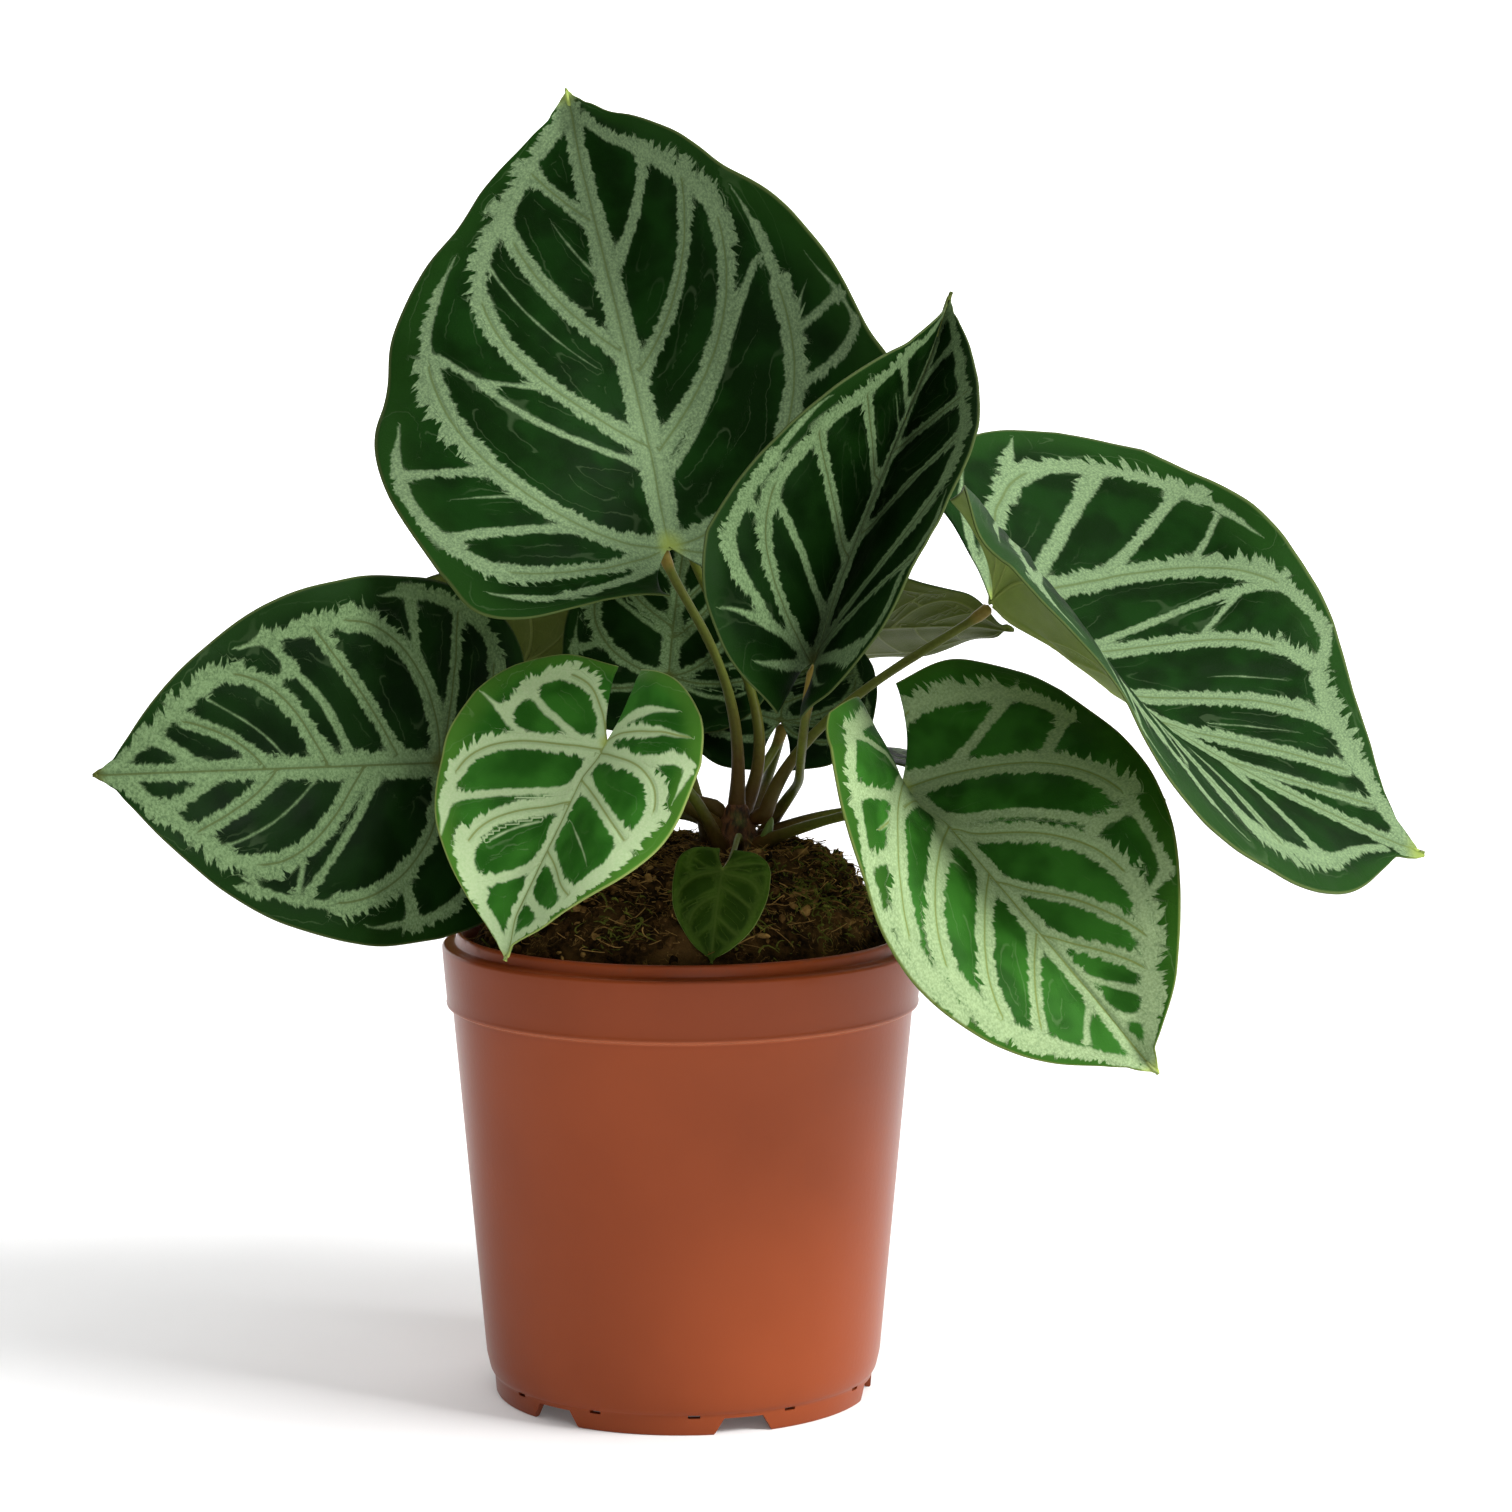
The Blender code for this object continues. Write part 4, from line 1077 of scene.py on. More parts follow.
@dataclass
class LeafPiece(Piece):
    """One blade with its veins, a little quilted between them."""

    shape: LeafShape
    thickness: float = 0.45
    rib: float = 1.3
    quilt: float = 0.38
    tip_width: float = 0.45
    crease: float = 6.0
    crease_spread: float = 4.5
    small_lumps: float = 0.22
    large_lumps: float = 0.5

    def _grid(self) -> tuple[Object, Array]:
        """The flat sheet before it is shaped.

        Returns:
            The object, and for each point its share along and its share across.
        """
        length, lobe, left, right = self.shape.size
        cell = self.shape.cell * 1.0
        rows = int(1.32 * (length + lobe + max(left, right)) / cell)
        columns = int(0.98 * max(left, right) / cell)
        made = Workshop.start(bpy.ops.mesh.primitive_grid_add, "leaf_" + self.shape.name, size=2,
                              x_subdivisions=rows, y_subdivisions=2 * columns)
        grid = np.round(Workshop.points(made)[:, :2] * MM, 5)
        return made, grid

    def build(self) -> Object:
        """Shapes the blade.

        Returns:
            The finished piece.
        """
        shape = self.shape
        made, grid = self._grid()
        points = np.zeros((len(grid), 3))
        layers = {name: np.zeros((len(grid), 3)) for name in ("veins", "paths", "place", "zones")}
        for side in Side:
            half = np.flatnonzero(grid[:, 1] * side.value <= 0)
            s, a = (grid[half, 0] + 1) / 2, np.abs(grid[half, 1])
            x, y = shape.flat(side, s, a)
            x = x * (1 + self.tip_width * ease(s, 0.86, 0.94) * ease(s, 1.0, 0.96))
            points[half] = shape.place(side, x, y, s, a) + self._round_off(x, y, s)
            found = VeinNetwork(shape, side).measure(np.stack([x * side.value, y], axis=-1))
            outer = ease(a, 0.55, 0.85) * (1 - ease(a, 0.93, 1.0)) * ease(found.signed, 1.0, -1.0)
            feather = (0.5 + 1.5 * outer) * min(1.0, 0.5 + shape.length / 160)
            tip = ease(y, shape.length * 0.955, shape.length * 0.995)
            margin = 1 - (1 - a) * (1 - ease(s, 0.93, 1.0))
            base = ease(np.hypot(x, y), 0.045 * shape.length, 0.01 * shape.length)
            for name, values in (("veins", (found.signed, found.apart, found.half)),
                                 ("paths", (found.along + 300 * side.index, feather, found.core)),
                                 ("place", (x, y, np.full(len(x), shape.length * 3.1))),
                                 ("zones", (tip, margin, base))):
                layers[name][half] = np.stack(values, axis=-1)
        normals = self._normals(made, points)
        veins, place, margin = layers["veins"], layers["place"], layers["zones"][:, 1]
        puff = ease(veins[:, 1] - veins[:, 2], -0.6, 5.0) * self.quilt * (1 - ease(margin, 0.86, 1.0))
        lumps = (lumpy(place, 7.0) * self.small_lumps
                 + lumpy(place, 22.0, 3.0) * self.large_lumps * ease(margin, 0.2, 0.9))
        points = points + normals * (puff + lumps * min(shape.length / 100, 1))[:, None]
        Workshop.set_points(made, points)
        for name, values in layers.items():
            Workshop.attribute(made, name, values)
        core = layers["paths"][:, 2] * ease(veins[:, 1], 0.42, 0.05) * ease(veins[:, 2], 0.8, 4.0)
        return self._thicken(made, core)

    def _round_off(self, x: Array, y: Array, s: Array) -> Array:
        """How far the crease along the midrib is filled, so that it is round and not sharp.

        Args:
            x: distance to the right of the midrib in mm.
            y: distance ahead of the stalk in mm.
            s: share of the way along the margin.

        Returns:
            Shifts in mm.
        """
        shape, none = self.shape, np.zeros(len(x))
        flanks = [shape.place(side, none + self.crease * side.value, y, s, none) for side in Side]
        crease = shape.place(Side.LEFT, none, y, s, none)
        share = np.exp(-(x / self.crease_spread) ** 2) * ease(y, 0.04 * shape.length, 0.2 * shape.length)
        share = share * ease(y, 0.97 * shape.length, 0.8 * shape.length)
        return ((flanks[0] + flanks[1]) / 2 - crease) * (0.85 * share)[:, None]

    @staticmethod
    def _normals(made: Object, points: Array) -> Array:
        """Shapes the sheet and reads its normals.

        Args:
            made: the sheet.
            points: its points in mm.

        Returns:
            The normals.
        """
        Workshop.set_points(made, points)
        normals = np.empty(len(points) * 3, np.float32)
        made.data.vertex_normals.foreach_get("vector", normals)
        return normals.reshape(-1, 3).astype(float)

    def _thicken(self, made: Object, ribs: Array) -> Object:
        """Closes the sheet, gives it a thickness and its finishes.

        Args:
            made: the sheet.
            ribs: how far each point stands on a vein's rib below.

        Returns:
            The finished piece.
        """
        group = made.vertex_groups.new(name="ribs")
        share = self.thickness / self.rib
        levels = np.round((share + (1 - share) * ribs * 0.8) * 20).astype(int)
        for level in np.unique(levels):
            group.add([int(i) for i in np.flatnonzero(levels == level)], level / 20, "REPLACE")
        finish = FINISHES[self.shape.tone]
        made.data.materials.append(finish.upper("face_" + self.shape.tone.value))
        made.data.materials.append(finish.lower("underside_" + self.shape.tone.value))
        Workshop.pick(made)
        Workshop.edit()
        bpy.ops.mesh.remove_doubles(threshold=2e-6)
        bpy.ops.mesh.dissolve_degenerate(threshold=2e-6)
        bpy.ops.object.mode_set(mode="OBJECT")
        bpy.ops.object.shade_smooth()
        Workshop.apply(made, "SOLIDIFY", thickness=self.rib * MM, offset=-1.0, use_even_offset=False,
                       vertex_group="ribs", material_offset=1, material_offset_rim=0)
        made.vertex_groups.clear()
        return self.settle(made, self.shape.tone.slot, "blade_" + self.shape.name)


@dataclass
class PetiolePiece(Piece):
    """A leaf stalk, with a swollen knee under the blade and a sheathed foot."""

    shape: LeafShape
    crown: "CrownPiece"
    middle: float = STALK_RADIUS
    foot: float = 2.3
    knee: float = 1.5

    def build(self) -> Object:
        """Makes the tube along the stalk's line.

        Returns:
            The finished piece.
        """
        path = self.shape.stalk(self.crown)
        inward = np.array([self.crown.x, self.crown.y, path[0, 2] - 5.0]) - path[0]
        path = np.vstack([path[0] + inward * 0.45, path[0] + inward * 0.2, path])
        run = np.linspace(0, 1, len(path))
        length = np.linalg.norm(np.diff(path, axis=0), axis=1).sum()
        small = 0.6 if self.shape.tone is LeafTone.SHADED_YOUNG else 1.0
        radii = self.middle + (self.foot - self.middle) * (1 - run) ** 6
        to_end = (1 - run) * length
        radii += (self.knee - self.middle) * ease(to_end, 11, 6) * ease(to_end, -3, 2)
        radii *= small * (1 + 0.035 * np.sin(23 * run + self.shape.length))
        radii[-1] *= 0.5
        radii[0] *= 0.6
        made = Workshop.tube("stalk_" + self.shape.name, path, radii, STALK_FINISH.material())
        points = Workshop.points(made)
        nearest = ((points[:, None] - path[None]) ** 2).sum(2).argmin(1)
        Workshop.attribute(made, "place", np.stack(
            [run[nearest], to_end[nearest], np.full(len(points), self.shape.length)], axis=-1))
        return self.settle(made, "petiole", "petiole_" + self.shape.name)


@dataclass(frozen=True)
class StalkFinish:
    """Olive stalk, brown at its foot and tan at the knee under the blade."""

    olive: Colour = (78, 86, 30)
    brown: Colour = (70, 45, 20)
    knee: Colour = (122, 104, 48)
    streak: Colour = (196, 188, 170)

    def material(self) -> Material:
        """Streaks along the stalk.

        Returns:
            The material.
        """
        looks = Looks("stalk")
        where = looks.place()
        run, to_end, _ = looks.attribute("place").parts()
        streaks = looks.noise(where, 900.0, 3.0, 0.6)
        broad = looks.noise(where, 90.0, 2.0)
        colour = looks.mix((run.step(0.4, 0.0) * 0.9 + (broad - 0.5) * 0.8).most(0.0), self.olive, self.brown)
        colour = looks.mix(to_end.step(11.0, 6.0) * 0.8, colour, self.knee)
        colour = looks.mix(streaks.step(0.42, 0.7) * 0.35, colour, self.streak, "MULTIPLY")
        return looks.surface(colour, streaks, depth=0.0002, strength=0.5, rough=0.45, ior=1.25)


STALK_FINISH = StalkFinish()


@dataclass
class CrownPiece(Piece):
    """The stub of stem that stands in the soil, with pale root nubs and a green sheath; mm."""

    x: float = 13.5
    y: float = 2.0
    bottom: float = 118.0
    top: float = 149.0
    taper: float = 2.2
    ring: float = 0.35
    flute: float = 0.55
    # Height and radius, up the stub.
    side: tuple[tuple[float, float], ...] = ((118, 4.5), (123, 6.2), (133, 6.6), (138, 6.2), (144, 5.7),
                                             (147.8, 5.0), (149, 3.6))
    # Facing in degrees, height, radius and length of each root nub.
    nubs: tuple[tuple[float, ...], ...] = ((-38, 137.5, 1.7, 2.6), (8, 134.5, 1.9, 3.0),
                                           (-66, 132.5, 1.5, 2.4), (52, 133.5, 1.4, 2.2),
                                           (150, 136, 1.6, 2.6))

    def radius(self, height: float) -> float:
        """Radius of the stub at a height, in mm."""
        heights, radii = zip(*self.side)
        return float(np.interp(height, heights, radii))

    def build(self) -> Object:
        """Makes the stub with its rings, nubs and sheath.

        Returns:
            The finished piece.
        """
        heights = np.linspace(self.bottom, self.top, 46)
        profile = [(self.radius(h) - self.ring * abs(math.sin(h * 0.9))
                    - self.taper * float(ease(h, 136, 149)), float(h)) for h in heights]
        profile.append((0.6, self.top + 0.1))
        made = Workshop.rings("crown_stub", profile, 56, closed=False)
        points = Workshop.points(made)
        out = points * np.array([1, 1, 0])
        out /= np.maximum(np.linalg.norm(out, axis=1), 1e-6)[:, None]
        flutes = lumpy(points * np.array([1, 1, 0.25]), 2.2) * self.flute + lumpy(points, 1.1, 4.0) * 0.25
        points = points + out * (flutes * ease(points[:, 2], self.top + 0.2, self.top - 3))[:, None]
        Workshop.set_points(made, points + np.array([self.x, self.y, 0]))
        made.data.materials.append(CROWN_FINISH.bark())
        crown = Workshop.join("crown_stub", [made, *self._nubs()])
        Workshop.smooth(crown, 60)
        return self.settle(crown, "crown", "crown")

    def _nubs(self) -> list[Object]:
        """Root nubs and one pointed sheath on the stub.

        Returns:
            The objects.
        """
        made = []
        for angle, height, size, reach in self.nubs:
            turn = math.radians(angle)
            out = np.array([math.sin(turn), -math.cos(turn), -0.25])
            foot = np.array([self.x, self.y, height]) + out * (self.radius(height) - 1.0)
            path = foot + out * np.linspace(0, reach, 7)[:, None]
            radii = size * np.array([1, 1, 0.96, 0.9, 0.78, 0.55, 0.15])
            made.append(Workshop.tube("nub", path, radii, CROWN_FINISH.nub(), 3))
        share = np.linspace(0, 1, 16)
        foot = np.array([self.x + 5.2, self.y - 3.4, 134.5])
        bend = np.array([0, 0, 1.5]) * (share ** 2)[:, None]
        path = foot + np.array([3.6, -1.4, 9.2]) * share[:, None] + bend
        radii = 1.9 * np.sqrt(np.clip(1.02 - share ** 1.6, 0.004, 1))
        return [*made, Workshop.tube("sheath", path, radii, CROWN_FINISH.sheath())]


@dataclass(frozen=True)
class CrownFinish:
    """Brown fibrous stub, pale nubs and a green sheath."""

    brown: Colour = (98, 62, 32)
    dark: Colour = (38, 21, 9)
    pale: Colour = (164, 142, 104)
    green: Colour = (86, 106, 46)

    def bark(self) -> Material:
        """Brown with dark upright streaks.

        Returns:
            The material.
        """
        looks = Looks("crown_bark")
        where = looks.place()
        long = looks.node("ShaderNodeMapping", {}, {"Vector": where, "Scale": (1, 1, 0.25)})
        streaks = looks.noise(long, 700.0, 4.0, 0.65)
        patches = looks.noise(where, 160.0, 3.0)
        colour = looks.mix(streaks.step(0.36, 0.66), self.dark, self.brown)
        colour = looks.mix(patches.step(0.52, 0.72) * 0.4, colour, self.green)
        return looks.surface(colour, streaks, depth=0.0008, strength=0.9, rough=0.75, level=0.25)

    def nub(self) -> Material:
        """Pale tan with brown specks.

        Returns:
            The material.
        """
        looks = Looks("root_nub")
        specks = looks.noise(looks.place(), 1400.0, 3.0, 0.6)
        colour = looks.mix(specks.step(0.4, 0.65), self.brown, self.pale)
        return looks.surface(colour, specks, depth=0.0003, strength=0.6, rough=0.7, level=0.25)

    def sheath(self) -> Material:
        """Green, browner by patches.

        Returns:
            The material.
        """
        looks = Looks("bud_sheath")
        patches = looks.noise(looks.place(), 420.0, 3.0)
        colour = looks.mix(patches.step(0.5, 0.75) * 0.6, self.green, self.brown)
        return looks.surface(colour, patches, depth=0.0002, strength=0.5, rough=0.5)


CROWN_FINISH = CrownFinish()


@dataclass
class PotPiece(Piece):
    """The nursery pot: rolled lip, collar, tapering wall, floor ring and notched foot; mm."""

    rim: float = 60.0
    lip: float = 56.5
    lip_wall: float = 1.9
    lip_height: float = 117.0
    collar_top: float = 113.6
    collar_bottom: float = 98.5
    body_top: float = 57.4
    body_bottom: float = 49.6
    bottom: float = 10.5
    step: float = 5.4
    foot: float = 47.2
    wall: float = 1.6
    disc: float = 30.0
    disc_height: float = 1.5
    channel: float = 5.5
    notches: int = 6
    first_notch: float = 19.0
    slot_turn: float = 15.0
    drain: float = 3.0
    segments: int = 192

    def inner(self, height: float) -> float:
        """Inner radius of the wall at a height."""
        share = (height - self.bottom) / (self.collar_bottom - self.bottom)
        return min(self.body_bottom + (self.body_top - self.body_bottom) * share - self.wall,
                   self.lip - self.lip_wall)

    @staticmethod
    def _near(radius: float, height: float, *steps: tuple[float, float]) -> list[tuple[float, float]]:
        """Radius and height pairs, given as steps from one place."""
        return [(radius + out, height + up) for out, up in steps]

    def profile(self) -> list[tuple[float, float]]:
        """The wall's section, from the lip's crest down the outside and up the inside.

        Returns:
            Radius and height pairs in mm.
        """
        near, collar, crest = self._near, self.collar_top - self.collar_bottom - 2.4, self.lip_wall / 2
        lip_in, inner_foot = self.lip - self.lip_wall, self.foot - self.wall
        inside_floor = self.channel + self.wall
        return [
            # The lip's round crest, and the fillet from its outer side to the collar's top.
            *((self.lip - crest + crest * math.sin(t), self.lip_height - crest + crest * math.cos(t))
              for t in np.linspace(-0.2, math.pi / 2, 8)),
            *near(self.lip, self.collar_top, (0.1, 1.3), (0.25, 0.7), (0.8, 0.38), (1.8, 0.28)),
            # The collar's shoulder, its side and its lower edge.
            *((self.rim - 0.9 + 0.9 * math.sin(t), self.collar_top - 0.62 + 0.9 * math.cos(t))
              for t in np.linspace(0.1, math.pi / 2, 7)),
            *((self.rim - 1.1 * k / 6, self.collar_top - 0.9 - collar * k / 6) for k in range(1, 7)),
            *near(self.rim, self.collar_bottom, (-1.04, 1.1), (-0.98, 0.7), (-1.1, 0.2), (-1.45, -0.05),
                  (-2.0, -0.1), (-2.45, -0.35)),
            # The wall, the step above the foot, and the foot ring.
            *((self.body_bottom + (self.body_top - self.body_bottom) * k / 16,
               self.bottom + (self.collar_bottom - 1.2 - self.bottom) * k / 16) for k in range(16, -1, -1)),
            (self.body_bottom - 0.35, self.bottom - 1.6),
            *near(self.foot, self.step, (1.5, 1.2), (1.05, 0.3), (0.75, -0.05), (0.45, -0.4), (0.35, -1.0)),
            *near(self.foot, 0.0, (0.05, 0.5), (-0.15, 0.12), (-0.45, 0.0)),
            *near(inner_foot, 0.0, (0.4, 0.0), (0.0, 0.4)),
            *near(inner_foot, self.channel, (-0.05, -0.5), (-0.6, 0.0)),
            # The floor from below: channel, disc, ring groove, and the dimple and hole in the middle.
            *near(self.disc, self.channel, (2.0, 0.0), (1.2, -0.6)),
            *near(self.disc, self.disc_height, (0.3, 0.6), (-0.4, 0.0)),
            *near(0.0, self.disc_height, (12.0, 0.0), (11.6, 0.35), (10.6, 0.35), (10.2, 0.0), (3.0, 0.0),
                  (2.6, 0.5), (1.2, 0.6), (1.2, self.wall)),
            # The floor and the wall inside, up to the lip.
            (self.disc - 0.6, self.disc_height + self.wall), (self.disc + 1.0, inside_floor),
            (self.inner(12) - 1.2, inside_floor), (self.inner(12), self.bottom + 1.5), (self.inner(55), 55.0),
            (self.inner(self.collar_bottom - 2), self.collar_bottom - 2),
            (lip_in, self.collar_top - 3), (lip_in, self.lip_height - 1.2)]

    def build(self) -> Object:
        """Turns the pot and cuts its foot.

        Returns:
            The finished piece.
        """
        made = Workshop.rings("nursery_pot", self.profile(), self.segments, closed=True)
        for cutter in self._cutters():
            Workshop.cut(made, cutter)
        made.data.materials.append(POT_FINISH.material())
        Workshop.smooth(made, 33)
        return self.settle(made, "pot", "pot")

    @staticmethod
    def _around(pattern: Object, radius: float, angles: Iterable[float], height: float) -> Object:
        """Copies of a cutter around the foot.

        Args:
            pattern: the cutter at the origin.
            radius: distance from the axis in mm.
            angles: degrees from the front, towards +X.
            height: height in mm.

        Returns:
            One object.
        """
        copies = []
        for angle in angles:
            turn = Matrix.Rotation(math.radians(angle - 90), 4, "Z")
            copies.append(Workshop.copy(pattern, turn @ Matrix.Translation(Vector((radius, 0, height)) * MM)))
        bpy.data.objects.remove(pattern, do_unlink=True)
        return Workshop.join("cutter", copies)

    @staticmethod
    def _box(deep: float, low_width: float, high_width: float, height: float) -> Object:
        """A cutter that narrows upwards.

        Args:
            deep: its size out from the axis in mm.
            low_width: its width below.
            high_width: its width above.
            height: its height.

        Returns:
            The box at the origin.
        """
        made = Workshop.start(bpy.ops.mesh.primitive_cube_add, "box", size=MM)
        made.scale = (deep, low_width, height)
        Workshop.seat(made)
        points = Workshop.points(made)
        points[:, 1] *= np.where(points[:, 2] > 0, high_width / low_width, 1.0)
        Workshop.set_points(made, points)
        return made

    def _cutters(self) -> Iterator[Object]:
        """Makes the cutters of the foot's notches, its slots and the drain holes, one by one.

        Yields:
            A cutter.
        """
        notches = [self.first_notch + 360 / self.notches * i for i in range(self.notches)]
        yield self._around(self._box(10, 19, 10, 7.6), self.foot, notches, 0.3)
        slots = [angle + self.slot_turn * side for angle in notches for side in (-1, 1)]
        yield self._around(self._box(6, 3, 3, 0.8), self.foot, slots, self.step - 0.7)
        drill = Workshop.start(bpy.ops.mesh.primitive_cylinder_add, "drill", vertices=40,
                               radius=self.drain * MM, depth=8 * MM)
        ring = (self.disc + self.foot - self.wall) / 2
        yield self._around(drill, ring, [60 * i for i in range(6)], self.channel + 0.8)


@dataclass(frozen=True)
class PotFinish:
    """Terracotta-coloured plastic with a satin gloss."""

    clay: Colour = (131, 60, 29)
    warm: Colour = (137, 64, 32)
    # Painted shade on the collar and the lip.
    painted_collar_shade: Colour = (108, 47, 21)
    stain: Colour = (92, 58, 40)
    # Painted highlight along the collar's lower edge.
    painted_hem_highlight: Colour = (206, 128, 92)

    def material(self) -> Material:
        """Moulded plastic, with a little soil on the lip, painted shade on the collar and the lip, and a
        painted highlight along the collar's lower edge.

        Returns:
            The material.
        """
        looks = Looks("pot_plastic")
        where = looks.place()
        height = where.parts()[2]
        broad = looks.noise(where, 22.0, 3.0)
        fine = looks.noise(where, 900.0, 2.0)
        colour = looks.mix(broad.step(0.3, 0.7), self.clay, self.warm)
        # The collar and the lip carry painted shade, the collar's lower edge a painted highlight, and the lip
        # a little soil; heights in metres.
        colour = looks.mix(height.step(0.0965, 0.0995) * 0.45, colour, self.painted_collar_shade)
        # Painted highlight along the collar's lower edge.
        hem_highlight = height.step(0.0976, 0.0983) * height.step(0.0993, 0.0986)
        colour = looks.mix(hem_highlight * 0.3, colour, self.painted_hem_highlight)
        dust = looks.noise(where, 320.0, 4.0, 0.65)
        high = height.step(0.1135, 0.1165)
        colour = looks.mix(dust.step(0.56, 0.72) * high * 0.6, colour, self.stain)
        rough = broad * 0.10 + fine * 0.05 + dust.step(0.5, 0.7) * high * 0.25 + 0.24
        return looks.surface(colour, fine, depth=0.00005, strength=0.4, rough=rough, level=0.5, ior=1.22)


POT_FINISH = PotFinish()


@dataclass
class SoilPiece(Piece):
    """The heaped plug of coir and peat, with crumbs, chips, fibres and a little moss; mm."""

    edge: float = 110.0
    rise: float = 26.0
    reach: float = 54.3
    gap: float = 0.3
    pot: PotPiece = field(default_factory=PotPiece)
    crown: CrownPiece = field(default_factory=CrownPiece)
    crumbs: int = 800
    fibres: int = 1100
    chips: int = 110
    # Facing in degrees, distance out, spread and number of strands in each patch of moss.
    moss: tuple[tuple[float, float, float, int], ...] = (
        (48, 44, 6, 210), (20, 44, 6, 90), (-52, 44, 6, 90), (75, 42, 6, 90), (-20, 46, 5, 60),
        (170, 35, 8, 60), (-130, 38, 8, 60))
    clear: float = 8.5
    # Under two leaves: place across and back, depth, and spread in square mm.
    hollows: tuple[tuple[float, ...], ...] = ((-43.0, -8.0, 8.5, 60.0), (7.6, -50.5, 3.5, 25.0))

    def __post_init__(self) -> None:
        """Starts this piece's own random numbers."""
        self.dice = np.random.default_rng(SEED)

    def height(self, x: Array, y: Array) -> Array:
        """Height of the soil.

        Args:
            x: places across in mm.
            y: places back in mm.

        Returns:
            Heights in mm.
        """
        reach = np.minimum(np.hypot(x, y) / self.reach, 1.0)
        dome = (1 - reach ** 5) * (1 + 0.14 * x / self.reach + 0.06 * y / self.reach)
        lumps = 1.1 * np.sin(0.21 * x + 1.0) * np.cos(0.17 * y) + 0.7 * np.sin(0.13 * x - 0.31 * y)
        for middle_x, middle_y, deep, spread in self.hollows:
            lumps = lumps - deep * np.exp(-((x - middle_x) ** 2 + (y - middle_y) ** 2) / spread)
        return self.edge + self.rise * dome + lumps * (1 - reach ** 6)

    def build(self) -> list[Object]:
        """Makes the plug and what lies on it.

        Returns:
            The finished pieces.
        """
        pot, hem = self.pot, self.pot.collar_bottom - 2
        disc, floor = pot.disc_height + pot.wall + self.gap, pot.channel + pot.wall + self.gap
        under = [(1.0, disc), (pot.disc - 0.9, disc), (pot.disc + 0.8, floor), (pot.inner(12) - 1.6, floor),
                 (pot.inner(12) - 0.3, pot.bottom + 1.8), (pot.inner(55) - 0.35, 55.0),
                 (pot.inner(hem) - 0.35, hem), (self.reach, pot.collar_top - 4.5)]
        step = 0.8
        top = [(float(r), self.edge) for r in np.arange(self.reach, 0.7, -step)]
        made = Workshop.rings("soil_plug", [*under, *top], 220, closed=False)
        points = Workshop.points(made)
        upper = points[:, 2] > self.edge - 0.05
        points[upper, 2] = self.height(points[upper, 0], points[upper, 1])
        inner = ease(np.hypot(points[:, 0], points[:, 1]), self.reach, self.reach - 3) * upper
        rough = (lumpy(points, 6.5) * 1.3 + lumpy(points, 2.6, 5.0) * 1.1
                 + lumpy(points, 1.2, 9.0) * 0.55) * inner
        near = np.hypot(points[:, 0] - self.crown.x, points[:, 1] - self.crown.y)
        points[:, 2] += rough - 1.2 * ease(near, 9, 6) * upper
        Workshop.set_points(made, points)
        made.data.materials.append(SOIL_FINISH.peat())
        Workshop.smooth(made, 180)
        plug = self.settle(made, "soil", "soil")
        return [plug, self._crumbs(), self._fibres(), self._moss()]

    def _on_top(self, x: float, y: float) -> Array:
        """The surface's point at a place."""
        return np.array([x, y, float(self.height(np.array(x), np.array(y)))])

    def _spots(self, count: int, margin: float = 2.5) -> Array:
        """Random places on the surface, clear of the crown.

        Args:
            count: how many.
            margin: distance kept from the pot's wall.

        Returns:
            Points in mm.
        """
        found = []
        while len(found) < count:
            radius = (self.reach - margin) * math.sqrt(self.dice.random())
            angle = self.dice.random() * 2 * math.pi
            x, y = radius * math.cos(angle), radius * math.sin(angle)
            if math.hypot(x - self.crown.x, y - self.crown.y) > self.clear:
                found.append(self._on_top(x, y))
        return np.array(found)

    def _scatter(self, name: str, patterns: Sequence[Object], places: Sequence[Matrix]) -> Object:
        """Copies patterns to places as one mesh and removes them.

        Args:
            name: the new object's name.
            patterns: objects taken in turn.
            places: one matrix for each copy.

        Returns:
            The finished piece.
        """
        points, faces, slots = [], [], []
        start = 0
        shapes = [(Workshop.points(one) * MM, [tuple(f.vertices) for f in one.data.polygons])
                  for one in patterns]
        for number, matrix in enumerate(places):
            local, corners = shapes[number % len(shapes)]
            turned = local @ np.array(matrix.to_3x3()).T + np.array(matrix.translation)
            points.append(turned)
            faces.extend(tuple(start + i for i in face) for face in corners)
            slots.extend([number % len(shapes)] * len(corners))
            start += len(local)
        data = bpy.data.meshes.new(name)
        data.from_pydata(np.concatenate(points).tolist(), [], faces)
        for one in patterns:
            data.materials.append(one.data.materials[0])
        data.polygons.foreach_set("material_index", slots)
        made = bpy.data.objects.new(name, data)
        bpy.context.scene.collection.objects.link(made)
        for one in patterns:
            bpy.data.objects.remove(one, do_unlink=True)
        Workshop.smooth(made, 50)
        return self.settle(made, "soil")

    def _turn(self, place: Array, rise: float, size: Sequence[float], lie: float = 1.0) -> Matrix:
        """A random turn and size at a place.

        Args:
            place: point in mm.
            rise: height above it.
            size: scale along each axis.
            lie: how far it may lean.

        Returns:
            The matrix.
        """
        turn = (Matrix.Rotation(self.dice.random() * 2 * math.pi, 4, "Z")
                @ Matrix.Rotation(self.dice.normal(0, 0.6 * lie), 4, "X")
                @ Matrix.Rotation(self.dice.normal(0, 0.6 * lie), 4, "Y"))
        moved = Matrix.Translation(Vector(place + np.array([0, 0, rise])) * MM)
        return moved @ turn @ Matrix.Diagonal((*size, 1))

    @staticmethod
    def _lump(name: str, seed: float, finish: Material) -> Object:
        """A knobbly crumb of 1 mm radius.

        Args:
            name: its name.
            seed: shift that gives another form.
            finish: its material.

        Returns:
            The crumb.
        """
        made = Workshop.start(bpy.ops.mesh.primitive_ico_sphere_add, name, subdivisions=2, radius=MM)
        points = Workshop.points(made)
        Workshop.set_points(made, points * (1 + 0.55 * lumpy(points, 0.9, seed))[:, None])
        made.data.materials.append(finish)
        return made

